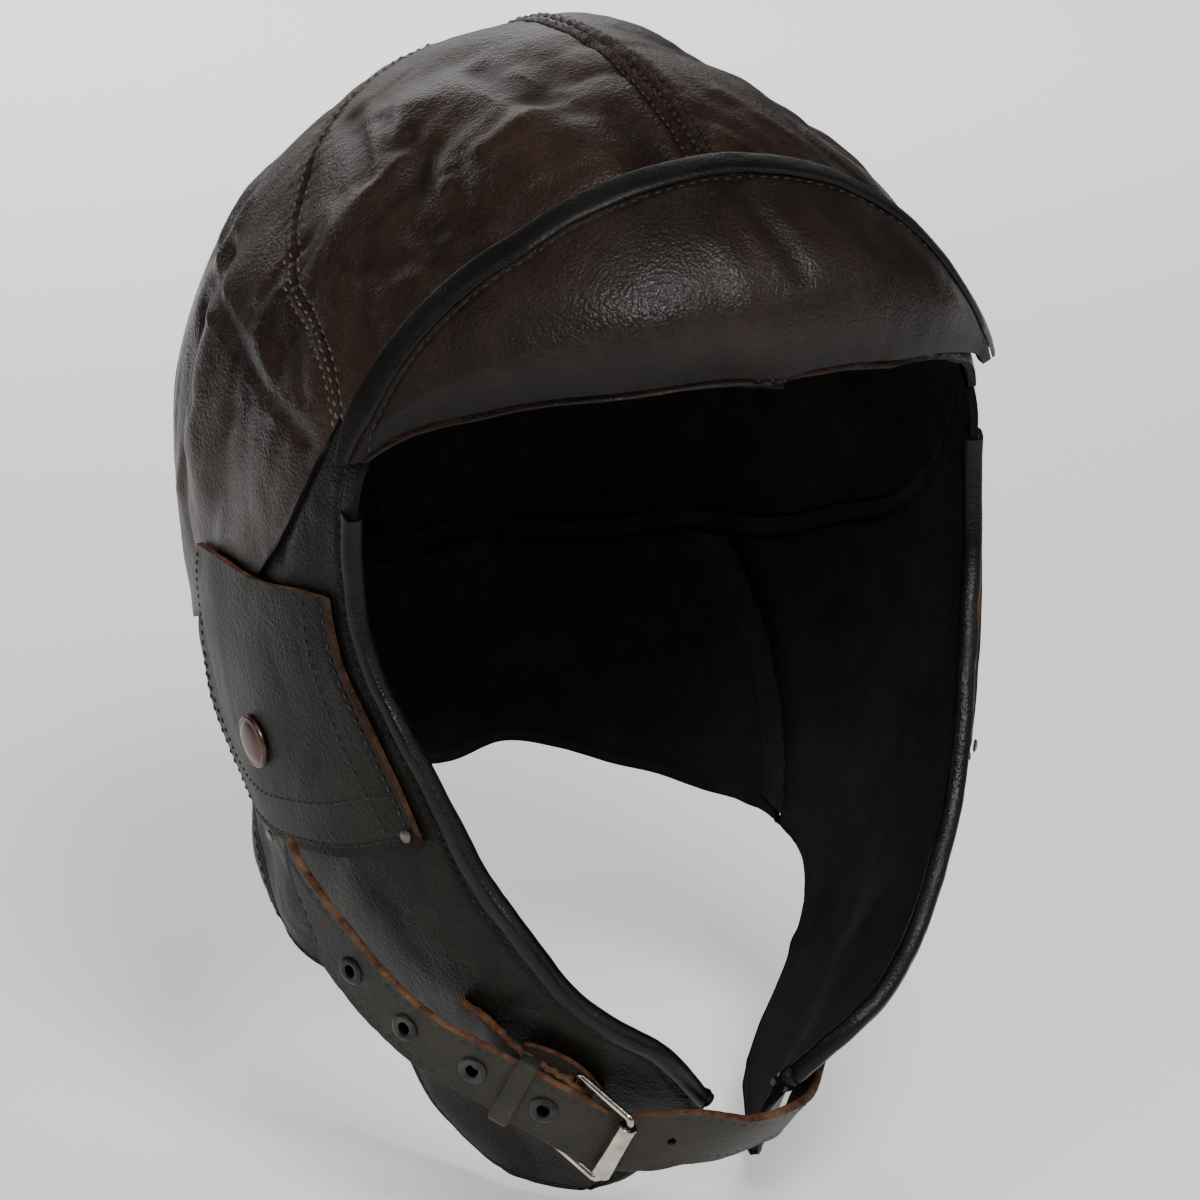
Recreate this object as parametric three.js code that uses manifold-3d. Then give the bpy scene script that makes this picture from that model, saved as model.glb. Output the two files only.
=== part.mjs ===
// Leather flying helmet with a turned-up peak, ear pockets and a buckled chin strap.
// Millimetres, +Z up. The face opening looks along -Y and the wearer's right is -X.
// The origin is the point inside the crown that rests on the top of the head.
import * as THREE from 'three';
import { mergeVertices } from 'three/addons/utils/BufferGeometryUtils.js';
import Module from 'manifold-3d';

const wasm = await Module();
wasm.setup();

// Head form
const headHalfWidth = 86;
const frontReach = 103.5;
const backReach = 108;
const crownDepth = 93;
const flapDepth = 258;
const sideFullness = 1.85;
const frontFullness = 2.1;
const backFullness = 1.95;
const planBoxiness = 2.25;

// Leather and seams
const leatherWall = 1.8;
const seamGap = 0.4;
const clearance = 0.3;
const foldDepth = 3;
const foldWidth = 9;

// Edge bindings
const bindingWall = 1;
const faceBindingLeg = 3.2;
const peakBindingLeg = 5;

// Turned-up peak
const peakWall = 1.8;
const peakBulge = 8;
const peakEdgeLift = 2.2;

// Ear pockets, snaps and rivets
const pocketWall = 1.5;
const pocketLift = 0.6;
const pocketBulge = 1.2;
const pocketHalfWidth = 30;
const snapRadius = 6.2;
const snapHeight = 2;
const rivetRadius = 1.5;
const rivetHeight = 0.8;

// Chin strap and its fittings
const strapWidth = 15;
const strapWall = 2;
const strapTipLength = 26;
const strapStandOff = 10;
const eyeletPitch = 17.5;
const eyeletCount = 4;
const eyeletRadius = 3.3;
const eyeletBore = 1.5;
const eyeletBarrel = 2.2;
const eyeletWall = 0.5;
const prongHoleRadius = 1;
const prongHoleDistance = 12;
const rollerDistance = 103;
const rollerRadius = 2.1;
const rollerClearance = 0.8;
const frameWireRadius = 0.9;
const frameLength = 14;
const frameSideGap = 1;
const frameCornerRadius = 1.5;
const keeperWidth = 4.5;
const keeperWall = 1.4;
const keeperDistance = 25;
const tabWall = 1;
const tabWidth = 14;
const patchWall = 1.2;
const patchLift = 1;

// The head's outline by reach: drop is a share of flapDepth, the others of the three widths.
const headRows = [
  { reach: 1.0, drop: crownDepth / flapDepth, side: 1, front: 1, back: 1 },
  { reach: 1.2, drop: 0.457, side: 0.995, front: 1, back: 0.98 },
  { reach: 1.4, drop: 0.55, side: 0.968, front: 1, back: 0.92 },
  { reach: 1.6, drop: 0.647, side: 0.92, front: 1, back: 0.84 },
  { reach: 1.8, drop: 0.736, side: 0.85, front: 0.995, back: 0.75 },
  { reach: 2.0, drop: 0.81, side: 0.75, front: 0.965, back: 0.69 },
  { reach: 2.2, drop: 0.88, side: 0.61, front: 0.83, back: 0.64 },
  { reach: 2.4, drop: 0.942, side: 0.48, front: 0.7, back: 0.58 },
  { reach: 2.6, drop: 1, side: 0.37, front: 0.61, back: 0.5 },
  { reach: 2.8, drop: 1.05, side: 0.3, front: 0.53, back: 0.44 },
];

// Folds and dents as soft ridges (depth above 0) and valleys: each runs between two places.
// Turn is the angle round the head from the front, negative on the wearer's right, and reach
// runs from 0 at the top of the crown through 1 at its widest to 2.6 at the lowest lobe.
const foldRows = [
  { turnA: -100, reachA: 0.72, turnB: -98, reachB: 0.98, depth: 0.8, width: 1.1 },
  { turnA: -106, reachA: 0.7, turnB: -108, reachB: 1.0, depth: -0.8, width: 1 },
  { turnA: -80, reachA: 0.74, turnB: -90, reachB: 1.02, depth: -0.5, width: 1 },
  { turnA: -84, reachA: 0.36, turnB: -74, reachB: 0.58, depth: 0.5, width: 1.1 },
  { turnA: -62, reachA: 0.36, turnB: -66, reachB: 0.6, depth: -0.5, width: 1.1 },
  { turnA: -92, reachA: 0.2, turnB: -34, reachB: 0.22, depth: -0.5, width: 0.9 },
  { turnA: -40, reachA: 0.32, turnB: -22, reachB: 0.42, depth: 0.4, width: 1 },
  { turnA: 60, reachA: 0.3, turnB: 78, reachB: 0.62, depth: 0.5, width: 1.1 },
  { turnA: 96, reachA: 0.62, turnB: 104, reachB: 0.98, depth: -0.7, width: 1.1 },
  { turnA: 84, reachA: 0.72, turnB: 90, reachB: 1.0, depth: 0.5, width: 1 },
  { turnA: 150, reachA: 0.7, turnB: 146, reachB: 1.1, depth: -0.6, width: 1.2 },
  { turnA: -152, reachA: 0.74, turnB: -144, reachB: 1.15, depth: 0.6, width: 1.2 },
  { turnA: -110, reachA: 1.84, turnB: -98, reachB: 2.02, depth: 1.5, width: 1.6 },
  { turnA: -80, reachA: 2.4, turnB: -68, reachB: 2.54, depth: 1.6, width: 1.6 },
  { turnA: -44, reachA: 2.0, turnB: -28, reachB: 2.08, depth: -1, width: 1.1 },
  { turnA: 62, reachA: 2.0, turnB: 38, reachB: 2.26, depth: -2.7, width: 2.2 },
  { turnA: -104, reachA: 1.3, turnB: -100, reachB: 1.6, depth: -0.7, width: 1.8 },
  { turnA: 76, reachA: 0.28, turnB: 66, reachB: 0.39, depth: -1.2, width: 2.1 },
  { turnA: 136, reachA: 0.14, turnB: 108, reachB: 0.16, depth: 0.7, width: 1.6 },
  { turnA: -134, reachA: 0.5, turnB: -126, reachB: 0.72, depth: -0.45, width: 2.4 },
  { turnA: -114, reachA: 1.72, turnB: -104, reachB: 1.8, depth: -1.4, width: 1.5 },
];

// Seams and free edges of the wearer's right half, as places on the head.
const seamRows = {
  arch: [
    { turn: -66, reach: 0.84 }, { turn: -70, reach: 0.76 }, { turn: -76, reach: 0.71 },
    { turn: -84, reach: 0.66 }, { turn: -92, reach: 0.57 }, { turn: -102, reach: 0.47 },
    { turn: -122, reach: 0.35 }, { turn: -180, reach: 0.26 },
  ],
  forehead: [
    { turn: -61, reach: 0.905 }, { turn: -54, reach: 0.86 }, { turn: -40, reach: 0.82 },
    { turn: -20, reach: 0.8 }, { turn: 0, reach: 0.8 },
  ],
  crownHem: [
    { turn: -69, reach: 0.91 }, { turn: -72, reach: 0.97 }, { turn: -76, reach: 1.05 },
    { turn: -82, reach: 1.15 }, { turn: -95, reach: 1.28 }, { turn: -118, reach: 1.38 },
    { turn: -150, reach: 1.43 }, { turn: -180, reach: 1.44 },
  ],
  faceEdge: [
    { turn: -61, reach: 0.905 }, { turn: -63, reach: 1.0 }, { turn: -63, reach: 1.1 },
    { turn: -61.5, reach: 1.24 }, { turn: -57.5, reach: 1.35 }, { turn: -52, reach: 1.49 },
    { turn: -47, reach: 1.63 }, { turn: -41, reach: 1.74 }, { turn: -35, reach: 1.87 },
    { turn: -27, reach: 1.97 }, { turn: -17, reach: 2.08 }, { turn: -9, reach: 2.2 },
  ],
  flapHem: [
    { turn: -104, reach: 1.95 }, { turn: -94, reach: 2.01 }, { turn: -88.5, reach: 2.11 },
    { turn: -85, reach: 2.26 }, { turn: -80.5, reach: 2.43 }, { turn: -72.5, reach: 2.55 },
    { turn: -58, reach: 2.61 }, { turn: -44, reach: 2.61 }, { turn: -30, reach: 2.54 },
    { turn: -18, reach: 2.43 }, { turn: -11, reach: 2.31 }, { turn: -9, reach: 2.2 },
  ],
  napeHem: [
    { turn: -104, reach: 1.95 }, { turn: -125, reach: 1.92 }, { turn: -150, reach: 1.87 },
    { turn: -180, reach: 1.85 },
  ],
  peakEdge: [
    { turn: -62.8, reach: 0.905 }, { turn: -62.2, reach: 0.86 }, { turn: -60.5, reach: 0.81 },
    { turn: -58, reach: 0.765 }, { turn: -55, reach: 0.715 }, { turn: -50, reach: 0.66 },
    { turn: -44, reach: 0.61 },
    { turn: -37, reach: 0.57 }, { turn: -30, reach: 0.53 }, { turn: -22, reach: 0.5 },
    { turn: -10, reach: 0.47 }, { turn: 0, reach: 0.46 },
  ],
  peakBase: [
    { turn: -60.2, reach: 0.905 }, { turn: -54, reach: 0.855 }, { turn: -40, reach: 0.815 },
    { turn: -20, reach: 0.795 }, { turn: 0, reach: 0.795 },
  ],
  // The peak is narrower on the wearer's left.
  peakLeftEdge: [
    { turn: 0, reach: 0.46 }, { turn: 10, reach: 0.474 }, { turn: 21, reach: 0.508 },
    { turn: 29, reach: 0.553 }, { turn: 35, reach: 0.605 }, { turn: 40, reach: 0.66 },
    { turn: 44.5, reach: 0.715 }, { turn: 49, reach: 0.765 }, { turn: 53.5, reach: 0.808 },
    { turn: 57.3, reach: 0.842 },
  ],
  peakLeftBase: [
    { turn: 0, reach: 0.795 }, { turn: 20, reach: 0.795 }, { turn: 38, reach: 0.812 },
    { turn: 50, reach: 0.838 }, { turn: 55.5, reach: 0.864 },
  ],
  pocketFront: [
    { turn: -67, reach: 1.15 }, { turn: -65.5, reach: 1.26 }, { turn: -61.8, reach: 1.36 },
    { turn: -58, reach: 1.47 }, { turn: -55, reach: 1.58 },
  ],
  pocketRear: [
    { turn: -97, reach: 1.16 }, { turn: -101, reach: 1.26 }, { turn: -105, reach: 1.38 },
    { turn: -107, reach: 1.5 }, { turn: -102, reach: 1.6 }, { turn: -94, reach: 1.665 },
  ],
  pocketTop: [
    { turn: -67, reach: 1.15 }, { turn: -82, reach: 1.16 }, { turn: -97, reach: 1.16 },
  ],
  patchTop: [
    { turn: -47, reach: 2.03 }, { turn: -41, reach: 2.05 }, { turn: -36, reach: 2.09 },
    { turn: -32, reach: 2.15 },
  ],
  patchHem: [
    { turn: -50, reach: 2.18 }, { turn: -42, reach: 2.23 }, { turn: -34, reach: 2.28 },
  ],
  pocketHem: [
    { turn: -55, reach: 1.58 }, { turn: -69, reach: 1.64 }, { turn: -83, reach: 1.675 },
    { turn: -94, reach: 1.665 },
  ],
};

// How the peak bulges off the crown from its base to its free edge, as shares of peakBulge.
const peakRows = [
  { along: 0, lift: 0 }, { along: 0.1, lift: 0.5 }, { along: 0.25, lift: 0.9 },
  { along: 0.45, lift: 1 }, { along: 0.75, lift: 0.6 }, { along: 1, lift: 0.1 },
];

// The chin strap's centre line from its free tip to its sewn end. Lift is a share of
// strapStandOff, and lean tips the strap's lower edge out from the head, in degrees.
const strapRows = [
  { turn: -78, reach: 1.62, lift: 0.65, lean: 8 }, { turn: -76, reach: 1.69, lift: 0.75, lean: 8 },
  { turn: -71, reach: 1.79, lift: 0.9, lean: 12 }, { turn: -65, reach: 1.89, lift: 0.98, lean: 16 },
  { turn: -58, reach: 1.97, lift: 1, lean: 20 }, { turn: -50, reach: 2.03, lift: 1, lean: 24 },
  { turn: -40, reach: 2.1, lift: 1.06, lean: 28 }, { turn: -31, reach: 2.17, lift: 1.03, lean: 29 },
  { turn: -23, reach: 2.19, lift: 0.92, lean: 27 }, { turn: -14, reach: 2.2, lift: 0.72, lean: 20 },
  { turn: -4, reach: 2.24, lift: 0.58, lean: 5 }, { turn: 7, reach: 2.27, lift: 0.38, lean: 0 },
  { turn: 18, reach: 2.3, lift: 0.34, lean: 3 }, { turn: 31, reach: 2.29, lift: 0.3, lean: 6 },
  { turn: 42, reach: 2.27, lift: 0.24, lean: 4 },
];

// The buckle tab from its loose front edge, past the frame's bar, to its sewn end: back is the
// distance behind the roller, drop the depth below the strap and seat how far it lies on the head.
const tabRows = [
  { back: 0.7, drop: 0.85, seat: 0 }, { back: 1, drop: 1, seat: 0 }, { back: 1.35, drop: 0.95, seat: 0 },
  { back: 1.8, drop: 0.92, seat: 0 }, { back: 2.1, drop: 0.92, seat: 0.15 },
  { back: 2.5, drop: 0.92, seat: 0.65 }, { back: 2.85, drop: 0.92, seat: 1 },
  { back: 3.3, drop: 0.92, seat: 1 },
];

const { degToRad, clamp } = THREE.MathUtils;

function rowValue(rows, key, column, at) {
  const last = rows.length - 1;
  const x = clamp(at, rows[0][key], rows[last][key]);
  let i = 0;
  while (i < last - 1 && x > rows[i + 1][key]) i += 1;
  const slope = (k) => {
    const a = Math.max(k - 1, 0);
    const b = Math.min(k + 1, last);
    return (rows[b][column] - rows[a][column]) / (rows[b][key] - rows[a][key]);
  };
  const step = rows[i + 1][key] - rows[i][key];
  const t = (x - rows[i][key]) / step;
  const rise = rows[i + 1][column] - rows[i][column];
  const tangentA = slope(i) * step;
  const tangentB = slope(i + 1) * step;
  return rows[i][column] + t * tangentA
    + t * t * (3 * rise - 2 * tangentA - tangentB) + t * t * t * (tangentA + tangentB - 2 * rise);
}

// A map point holds reach times the sine and cosine of turn, so the head unrolls round its top.
const mapPoint = (turn, reach) => new THREE.Vector2(
  reach * Math.sin(degToRad(turn)), reach * Math.cos(degToRad(turn)));

function headPoint(map) {
  const reach = Math.max(map.length(), 1e-6);
  const sine = map.x / reach;
  const cosine = map.y / reach;
  const rise = Math.min(reach, 1) * Math.PI / 2;
  const power = 2 / (sideFullness * sine ** 2
    + (cosine > 0 ? frontFullness : backFullness) * cosine ** 2);
  const spread = (column) => (reach < 1
    ? Math.sin(rise) ** power : rowValue(headRows, 'reach', column, reach));
  const x = spread('side') * headHalfWidth * Math.sign(sine) * Math.abs(sine) ** (2 / planBoxiness);
  const y = (cosine > 0 ? -spread('front') * frontReach : spread('back') * backReach)
    * Math.abs(cosine) ** (2 / planBoxiness);
  const drop = reach < 1 ? crownDepth * (1 - Math.cos(rise) ** power)
    : flapDepth * rowValue(headRows, 'reach', 'drop', reach);
  return new THREE.Vector3(x, y, leatherWall - drop);
}

const folds = foldRows.map((row) => ({
  line: new THREE.Line3(
    headPoint(mapPoint(row.turnA, row.reachA)),
    headPoint(mapPoint(row.turnB, row.reachB)),
  ),
  depth: row.depth * foldDepth,
  width: row.width * foldWidth,
}));

function headNormal(map) {
  const step = 0.01;
  const along = (dx, dy) => headPoint(new THREE.Vector2(map.x + dx * step, map.y + dy * step))
    .sub(headPoint(new THREE.Vector2(map.x - dx * step, map.y - dy * step)));
  return along(0, 1).cross(along(1, 0)).normalize();
}

// A point on the outer leather, raised by lift along the head's normal.
function skinPoint(map, lift = 0) {
  const point = headPoint(map);
  const nearest = new THREE.Vector3();
  let fold = 0;
  for (const { line, depth, width } of folds) {
    line.closestPointToPoint(point, true, nearest);
    fold += depth * Math.exp(-((nearest.distanceTo(point) / width) ** 2));
  }
  return point.addScaledVector(headNormal(map), fold + lift);
}

function sampleCurve(rows, cells) {
  const curve = new THREE.SplineCurve(rows.map(({ turn, reach }) => mapPoint(turn, reach)));
  return curve.getSpacedPoints(cells);
}

const lerpMap = (a, b, cells) => (
  Array.from({ length: cells + 1 }, (_, i) => a.clone().lerp(b, i / cells)));

// Fills four edges with a grid: top and bottom run along, front and rear run down.
function fillPatch(top, bottom, front, rear) {
  const across = top.length - 1;
  const down = front.length - 1;
  return top.map((_, i) => front.map((__, j) => {
    const u = i / across;
    const v = j / down;
    return top[i].clone().multiplyScalar(1 - v).addScaledVector(bottom[i], v)
      .addScaledVector(front[j], 1 - u).addScaledVector(rear[j], u)
      .addScaledVector(top[0], -(1 - u) * (1 - v)).addScaledVector(top[across], -u * (1 - v))
      .addScaledVector(bottom[0], -(1 - u) * v).addScaledVector(bottom[across], -u * v);
  }));
}

// Turns a closed set of faces into a geometry whose faces point out.
function closedGeometry(points, faces) {
  const volume = faces.reduce((sum, [a, b, c]) => (
    sum + points[a].dot(points[b].clone().cross(points[c]))), 0);
  const geometry = new THREE.BufferGeometry().setFromPoints(points);
  geometry.setIndex(faces.flatMap(([a, b, c]) => (volume > 0 ? [a, b, c] : [a, c, b])));
  return geometry;
}

// Joins rings of equal length into a closed body; a loop joins its last ring to its first.
function loftRings(rings, loop = false) {
  const size = rings[0].length;
  const faces = [];
  const bands = loop ? rings.length : rings.length - 1;
  for (let i = 0; i < bands; i += 1) {
    const next = (i + 1) % rings.length;
    for (let j = 0; j < size; j += 1) {
      const a = i * size + j;
      const b = i * size + (j + 1) % size;
      const c = next * size + (j + 1) % size;
      const d = next * size + j;
      faces.push([a, b, c], [a, c, d]);
    }
  }
  if (!loop) {
    const cap = (ring) => THREE.ShapeUtils.triangulateShape(flattenRing(ring), []);
    cap(rings[0]).forEach(([a, b, c]) => faces.push([a, c, b]));
    const start = (rings.length - 1) * size;
    cap(rings[rings.length - 1]).forEach(([a, b, c]) => faces.push([start + a, start + b, start + c]));
  }
  return closedGeometry(rings.flat(), faces);
}

// A ring's points in its own plane, turning the same way as the ring.
function flattenRing(ring) {
  const normal = new THREE.Vector3();
  ring.forEach((point, i) => normal.add(point.clone().cross(ring[(i + 1) % ring.length])));
  normal.normalize();
  const across = ring[1].clone().sub(ring[0]).normalize();
  const up = normal.clone().cross(across);
  return ring.map((point) => new THREE.Vector2(point.dot(across), point.dot(up)));
}

// A leather sheet over a grid of map points: lift gives the height of its lower face.
function sheet(grid, wall, lift, trim = {}) {
  const lastI = grid.length - 1;
  const lastJ = grid[0].length - 1;
  const lower = grid.map((column, i) => column.map((map, j) => (
    skinPoint(map, lift(i / lastI, j / lastJ, map)))));
  const trimmed = lower.map((column) => column.map((point) => point.clone()));
  const pull = (i, j, insideI, insideJ, sideI, sideJ, amount) => {
    const tangent = lower[clamp(i + sideI, 0, lastI)][clamp(j + sideJ, 0, lastJ)].clone()
      .sub(lower[clamp(i - sideI, 0, lastI)][clamp(j - sideJ, 0, lastJ)]).normalize();
    const inward = lower[i + insideI][j + insideJ].clone().sub(lower[i][j]);
    inward.addScaledVector(tangent, -inward.dot(tangent)).setLength(amount);
    trimmed[i][j].add(inward);
  };
  for (let i = 0; i <= lastI; i += 1) {
    if (trim.top) pull(i, 0, 0, 1, 1, 0, trim.top);
    if (trim.bottom) pull(i, lastJ, 0, -1, 1, 0, trim.bottom);
  }
  for (let j = 0; j <= lastJ; j += 1) {
    if (trim.front) pull(0, j, 1, 0, 0, 1, trim.front);
    if (trim.rear) pull(lastI, j, -1, 0, 0, 1, trim.rear);
  }
  const upper = trimmed.map((column, i) => column.map((point, j) => point.clone()
    .addScaledVector(gridNormal(lower, i, j), wall)));
  const height = lastJ + 1;
  const count = (lastI + 1) * height;
  const index = (i, j, side) => i * height + j + side * count;
  const faces = [];
  const quad = (a, b, c, d) => faces.push([a, b, c], [a, c, d]);
  for (let i = 0; i < lastI; i += 1) {
    for (let j = 0; j < lastJ; j += 1) {
      quad(index(i, j, 0), index(i, j + 1, 0), index(i + 1, j + 1, 0), index(i + 1, j, 0));
      quad(index(i, j, 1), index(i + 1, j, 1), index(i + 1, j + 1, 1), index(i, j + 1, 1));
    }
    quad(index(i, 0, 0), index(i + 1, 0, 0), index(i + 1, 0, 1), index(i, 0, 1));
    quad(index(i, lastJ, 1), index(i + 1, lastJ, 1), index(i + 1, lastJ, 0), index(i, lastJ, 0));
  }
  for (let j = 0; j < lastJ; j += 1) {
    quad(index(0, j, 1), index(0, j + 1, 1), index(0, j + 1, 0), index(0, j, 0));
    quad(index(lastI, j, 0), index(lastI, j + 1, 0), index(lastI, j + 1, 1), index(lastI, j, 1));
  }
  return closedGeometry([...trimmed.flat(), ...upper.flat()], faces);
}

// The normal of a grid of points, away from the head.
function gridNormal(points, i, j) {
  const lastI = points.length - 1;
  const lastJ = points[0].length - 1;
  const along = points[Math.min(i + 1, lastI)][j].clone().sub(points[Math.max(i - 1, 0)][j]);
  const down = points[i][Math.min(j + 1, lastJ)].clone().sub(points[i][Math.max(j - 1, 0)]);
  const normal = down.cross(along).normalize();
  return normal.dot(points[i][j].clone().setZ(points[i][j].z + crownDepth)) < 0 ? normal.negate() : normal;
}

// A folded strip round an edge: out points past the edge and up away from the head.
function edgeBinding(stations, wall, leg) {
  const half = wall / 2 + clearance;
  const full = half + bindingWall;
  const section = [
    [-leg, full], [clearance, full], [clearance + bindingWall, half], [clearance + bindingWall, -half],
    [clearance, -full], [-leg, -full], [-leg, -half], [clearance, -half], [clearance, half], [-leg, half],
  ];
  return loftRings(stations.map(({ centre, out, up, room }) => section.map(([along, height]) => centre.clone()
    .addScaledVector(out, Math.max(along, -room)).addScaledVector(up, height))));
}

// Stations along an edge of a sheet, from the heights of its lower face there and inside.
function edgeStations(edge, inside, edgeLift, insideLift, wall) {
  const points = edge.map((map, i) => skinPoint(map, edgeLift(i) + wall / 2));
  return points.map((centre, i) => {
    const tangent = points[Math.min(i + 1, points.length - 1)].clone()
      .sub(points[Math.max(i - 1, 0)]).normalize();
    const inward = skinPoint(inside[i], insideLift(i) + wall / 2).sub(centre);
    const out = inward.addScaledVector(tangent, -inward.dot(tangent)).normalize().negate();
    const up = tangent.clone().cross(out).normalize();
    if (up.dot(headNormal(edge[i])) < 0) up.negate();
    return { centre, out, up, room: inward.length() * 3 };
  });
}

const materials = {
  crownLeather: new THREE.MeshStandardMaterial({ color: 0x3d3128, roughness: 0.42, metalness: 0 }),
  flapLeather: new THREE.MeshStandardMaterial({ color: 0x2c2c28, roughness: 0.5, metalness: 0 }),
  bindingLeather: new THREE.MeshStandardMaterial({ color: 0x14110f, roughness: 0.45, metalness: 0 }),
  strapLeather: new THREE.MeshStandardMaterial({ color: 0x2e2a22, roughness: 0.5, metalness: 0 }),
  snapMetal: new THREE.MeshStandardMaterial({ color: 0x3a2420, roughness: 0.35, metalness: 0.6 }),
  eyeletMetal: new THREE.MeshStandardMaterial({ color: 0x23252a, roughness: 0.35, metalness: 0.8 }),
  buckleMetal: new THREE.MeshStandardMaterial({ color: 0xb9b6a8, roughness: 0.2, metalness: 1 }),
};

const helmet = new THREE.Group();

function addPiece(name, geometry, material) {
  const mesh = new THREE.Mesh(geometry, material);
  mesh.name = name;
  helmet.add(mesh);
  return mesh;
}

// The other half of the head mirrors the wearer's right.
const mirrorMap = (map) => new THREE.Vector2(-map.x, map.y);
const mirrorGrid = (grid) => grid.map((column) => column.map(mirrorMap));
const sides = [
  { side: 'right', place: (grid) => grid, placeEdge: (edge) => edge },
  { side: 'left', place: mirrorGrid, placeEdge: (edge) => edge.map(mirrorMap) },
];

// Crown, flap and nape panels share their seams, so each pair meets along one line.
const archCells = 14;
const hemSplit = 7;
const lobeSplit = 18;
const lobeCells = 9;
const frontPanelCells = 9;
const sidePanelCells = 11;
const napeCells = 4;
const flapCells = napeCells + lobeSplit;
const arch = sampleCurve(seamRows.arch, archCells);
const crownHem = sampleCurve(seamRows.crownHem, archCells);
const forehead = sampleCurve(seamRows.forehead, archCells);
const faceEdge = sampleCurve(seamRows.faceEdge, flapCells);
const napeHem = sampleCurve(seamRows.napeHem, archCells - hemSplit);
const flapHem = sampleCurve(seamRows.flapHem, lobeSplit + lobeCells);
const lobeEnd = flapHem.slice(lobeSplit).reverse();
const flapTop = [faceEdge[0], arch[0], ...crownHem.slice(0, hemSplit + 1)];
const flapRearTop = crownHem[hemSplit];
const flapRearEdge = lerpMap(flapRearTop, napeHem[0], napeCells);
const flapRear = [...flapRearEdge, ...flapHem.slice(1, lobeSplit + 1)];

const betweenSeams = (top, bottom, cells) => fillPatch(top, bottom, lerpMap(top[0], bottom[0], cells),
  lerpMap(top[top.length - 1], bottom[bottom.length - 1], cells));
const crownFrontGrid = betweenSeams(forehead, arch, frontPanelCells);
const crownSideGrid = betweenSeams(arch, crownHem, sidePanelCells);
const earFlapGrid = fillPatch(flapTop, lobeEnd, faceEdge, flapRear);
const seam = seamGap / 2;
const skinLift = () => -leatherWall;

for (const { side, place } of sides) {
  addPiece(`crown_front_${side}`, sheet(place(crownFrontGrid), leatherWall, skinLift,
    { bottom: seam, front: seam, rear: seam }), materials.crownLeather);
  addPiece(`crown_side_${side}`, sheet(place(crownSideGrid), leatherWall, skinLift,
    { top: seam, bottom: seam, front: seam, rear: seam }), materials.crownLeather);
  addPiece(`ear_flap_${side}`, sheet(place(earFlapGrid), leatherWall, skinLift,
    { top: seam }), materials.flapLeather);
}

const centreBack = crownHem.slice(hemSplit);
const mirrorTail = (edge) => edge.slice(0, -1).reverse().map(mirrorMap);
const napeGrid = fillPatch([...centreBack, ...mirrorTail(centreBack)], [...napeHem, ...mirrorTail(napeHem)],
  flapRearEdge, flapRearEdge.map(mirrorMap));
addPiece('nape_panel', sheet(napeGrid, leatherWall, skinLift, { top: seam, front: seam, rear: seam }),
  materials.flapLeather);

// The peak is sewn along the forehead, turned up and bulges over the crown.
const peakHalfCells = 12;
const peakCells = 6;
const peakBase = sampleCurve(seamRows.peakBase, peakHalfCells);
const peakEdge = sampleCurve(seamRows.peakEdge, peakHalfCells);
const peakLeftBase = sampleCurve(seamRows.peakLeftBase, peakHalfCells);
const peakLeftEdge = sampleCurve(seamRows.peakLeftEdge, peakHalfCells);
const wholePeakBase = [...peakBase, ...peakLeftBase.slice(1)];
const wholePeakEdge = [...peakEdge, ...peakLeftEdge.slice(1)];
const peakGrid = betweenSeams(wholePeakBase, wholePeakEdge, peakCells);
const peakLift = (u, v) => THREE.MathUtils.lerp(clearance, peakEdgeLift, Math.min(v / 0.3, 1))
  + peakBulge * rowValue(peakRows, 'along', 'lift', v) * Math.sin(Math.PI * u) ** 1.8;
addPiece('peak', sheet(peakGrid, peakWall, peakLift), materials.crownLeather);

const peakRowLift = (v) => (i) => peakLift(i / (wholePeakEdge.length - 1), v);
const peakStations = edgeStations(wholePeakEdge, peakGrid.map((column) => column[column.length - 2]),
  peakRowLift(1), peakRowLift(1 - 1 / peakCells), peakWall);
addPiece('peak_binding', edgeBinding(peakStations, peakWall, peakBindingLeg),
  materials.bindingLeather);

// Ear pockets lie on the flaps, each with a snap cap and two rivets.
const pocketCentre = skinPoint(mapPoint(-82, 1.42));
const pocketHeight = (map) => {
  const point = skinPoint(new THREE.Vector2(-Math.abs(map.x), map.y));
  return pocketLift + pocketBulge * Math.exp(-((point.distanceTo(pocketCentre) / pocketHalfWidth) ** 2));
};
const pocketCells = 8;
const pocketGrid = fillPatch(...['pocketTop', 'pocketHem', 'pocketFront', 'pocketRear']
  .map((edge) => sampleCurve(seamRows[edge], pocketCells)));

// A domed cap standing on the leather, its axis along the head's normal.
function domeCap(map, lift, { radius, height, facets }) {
  const profile = [[0, 0], [radius, 0], [radius * 0.97, height * 0.4], [radius * 0.75, height * 0.8],
    [0, height]].map(([x, y]) => new THREE.Vector2(x, y));
  const cap = new THREE.LatheGeometry(profile, facets);
  const turn = new THREE.Quaternion().setFromUnitVectors(new THREE.Vector3(0, 1, 0), headNormal(map));
  const point = skinPoint(map, lift);
  return cap.applyQuaternion(turn).translate(point.x, point.y, point.z);
}

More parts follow.
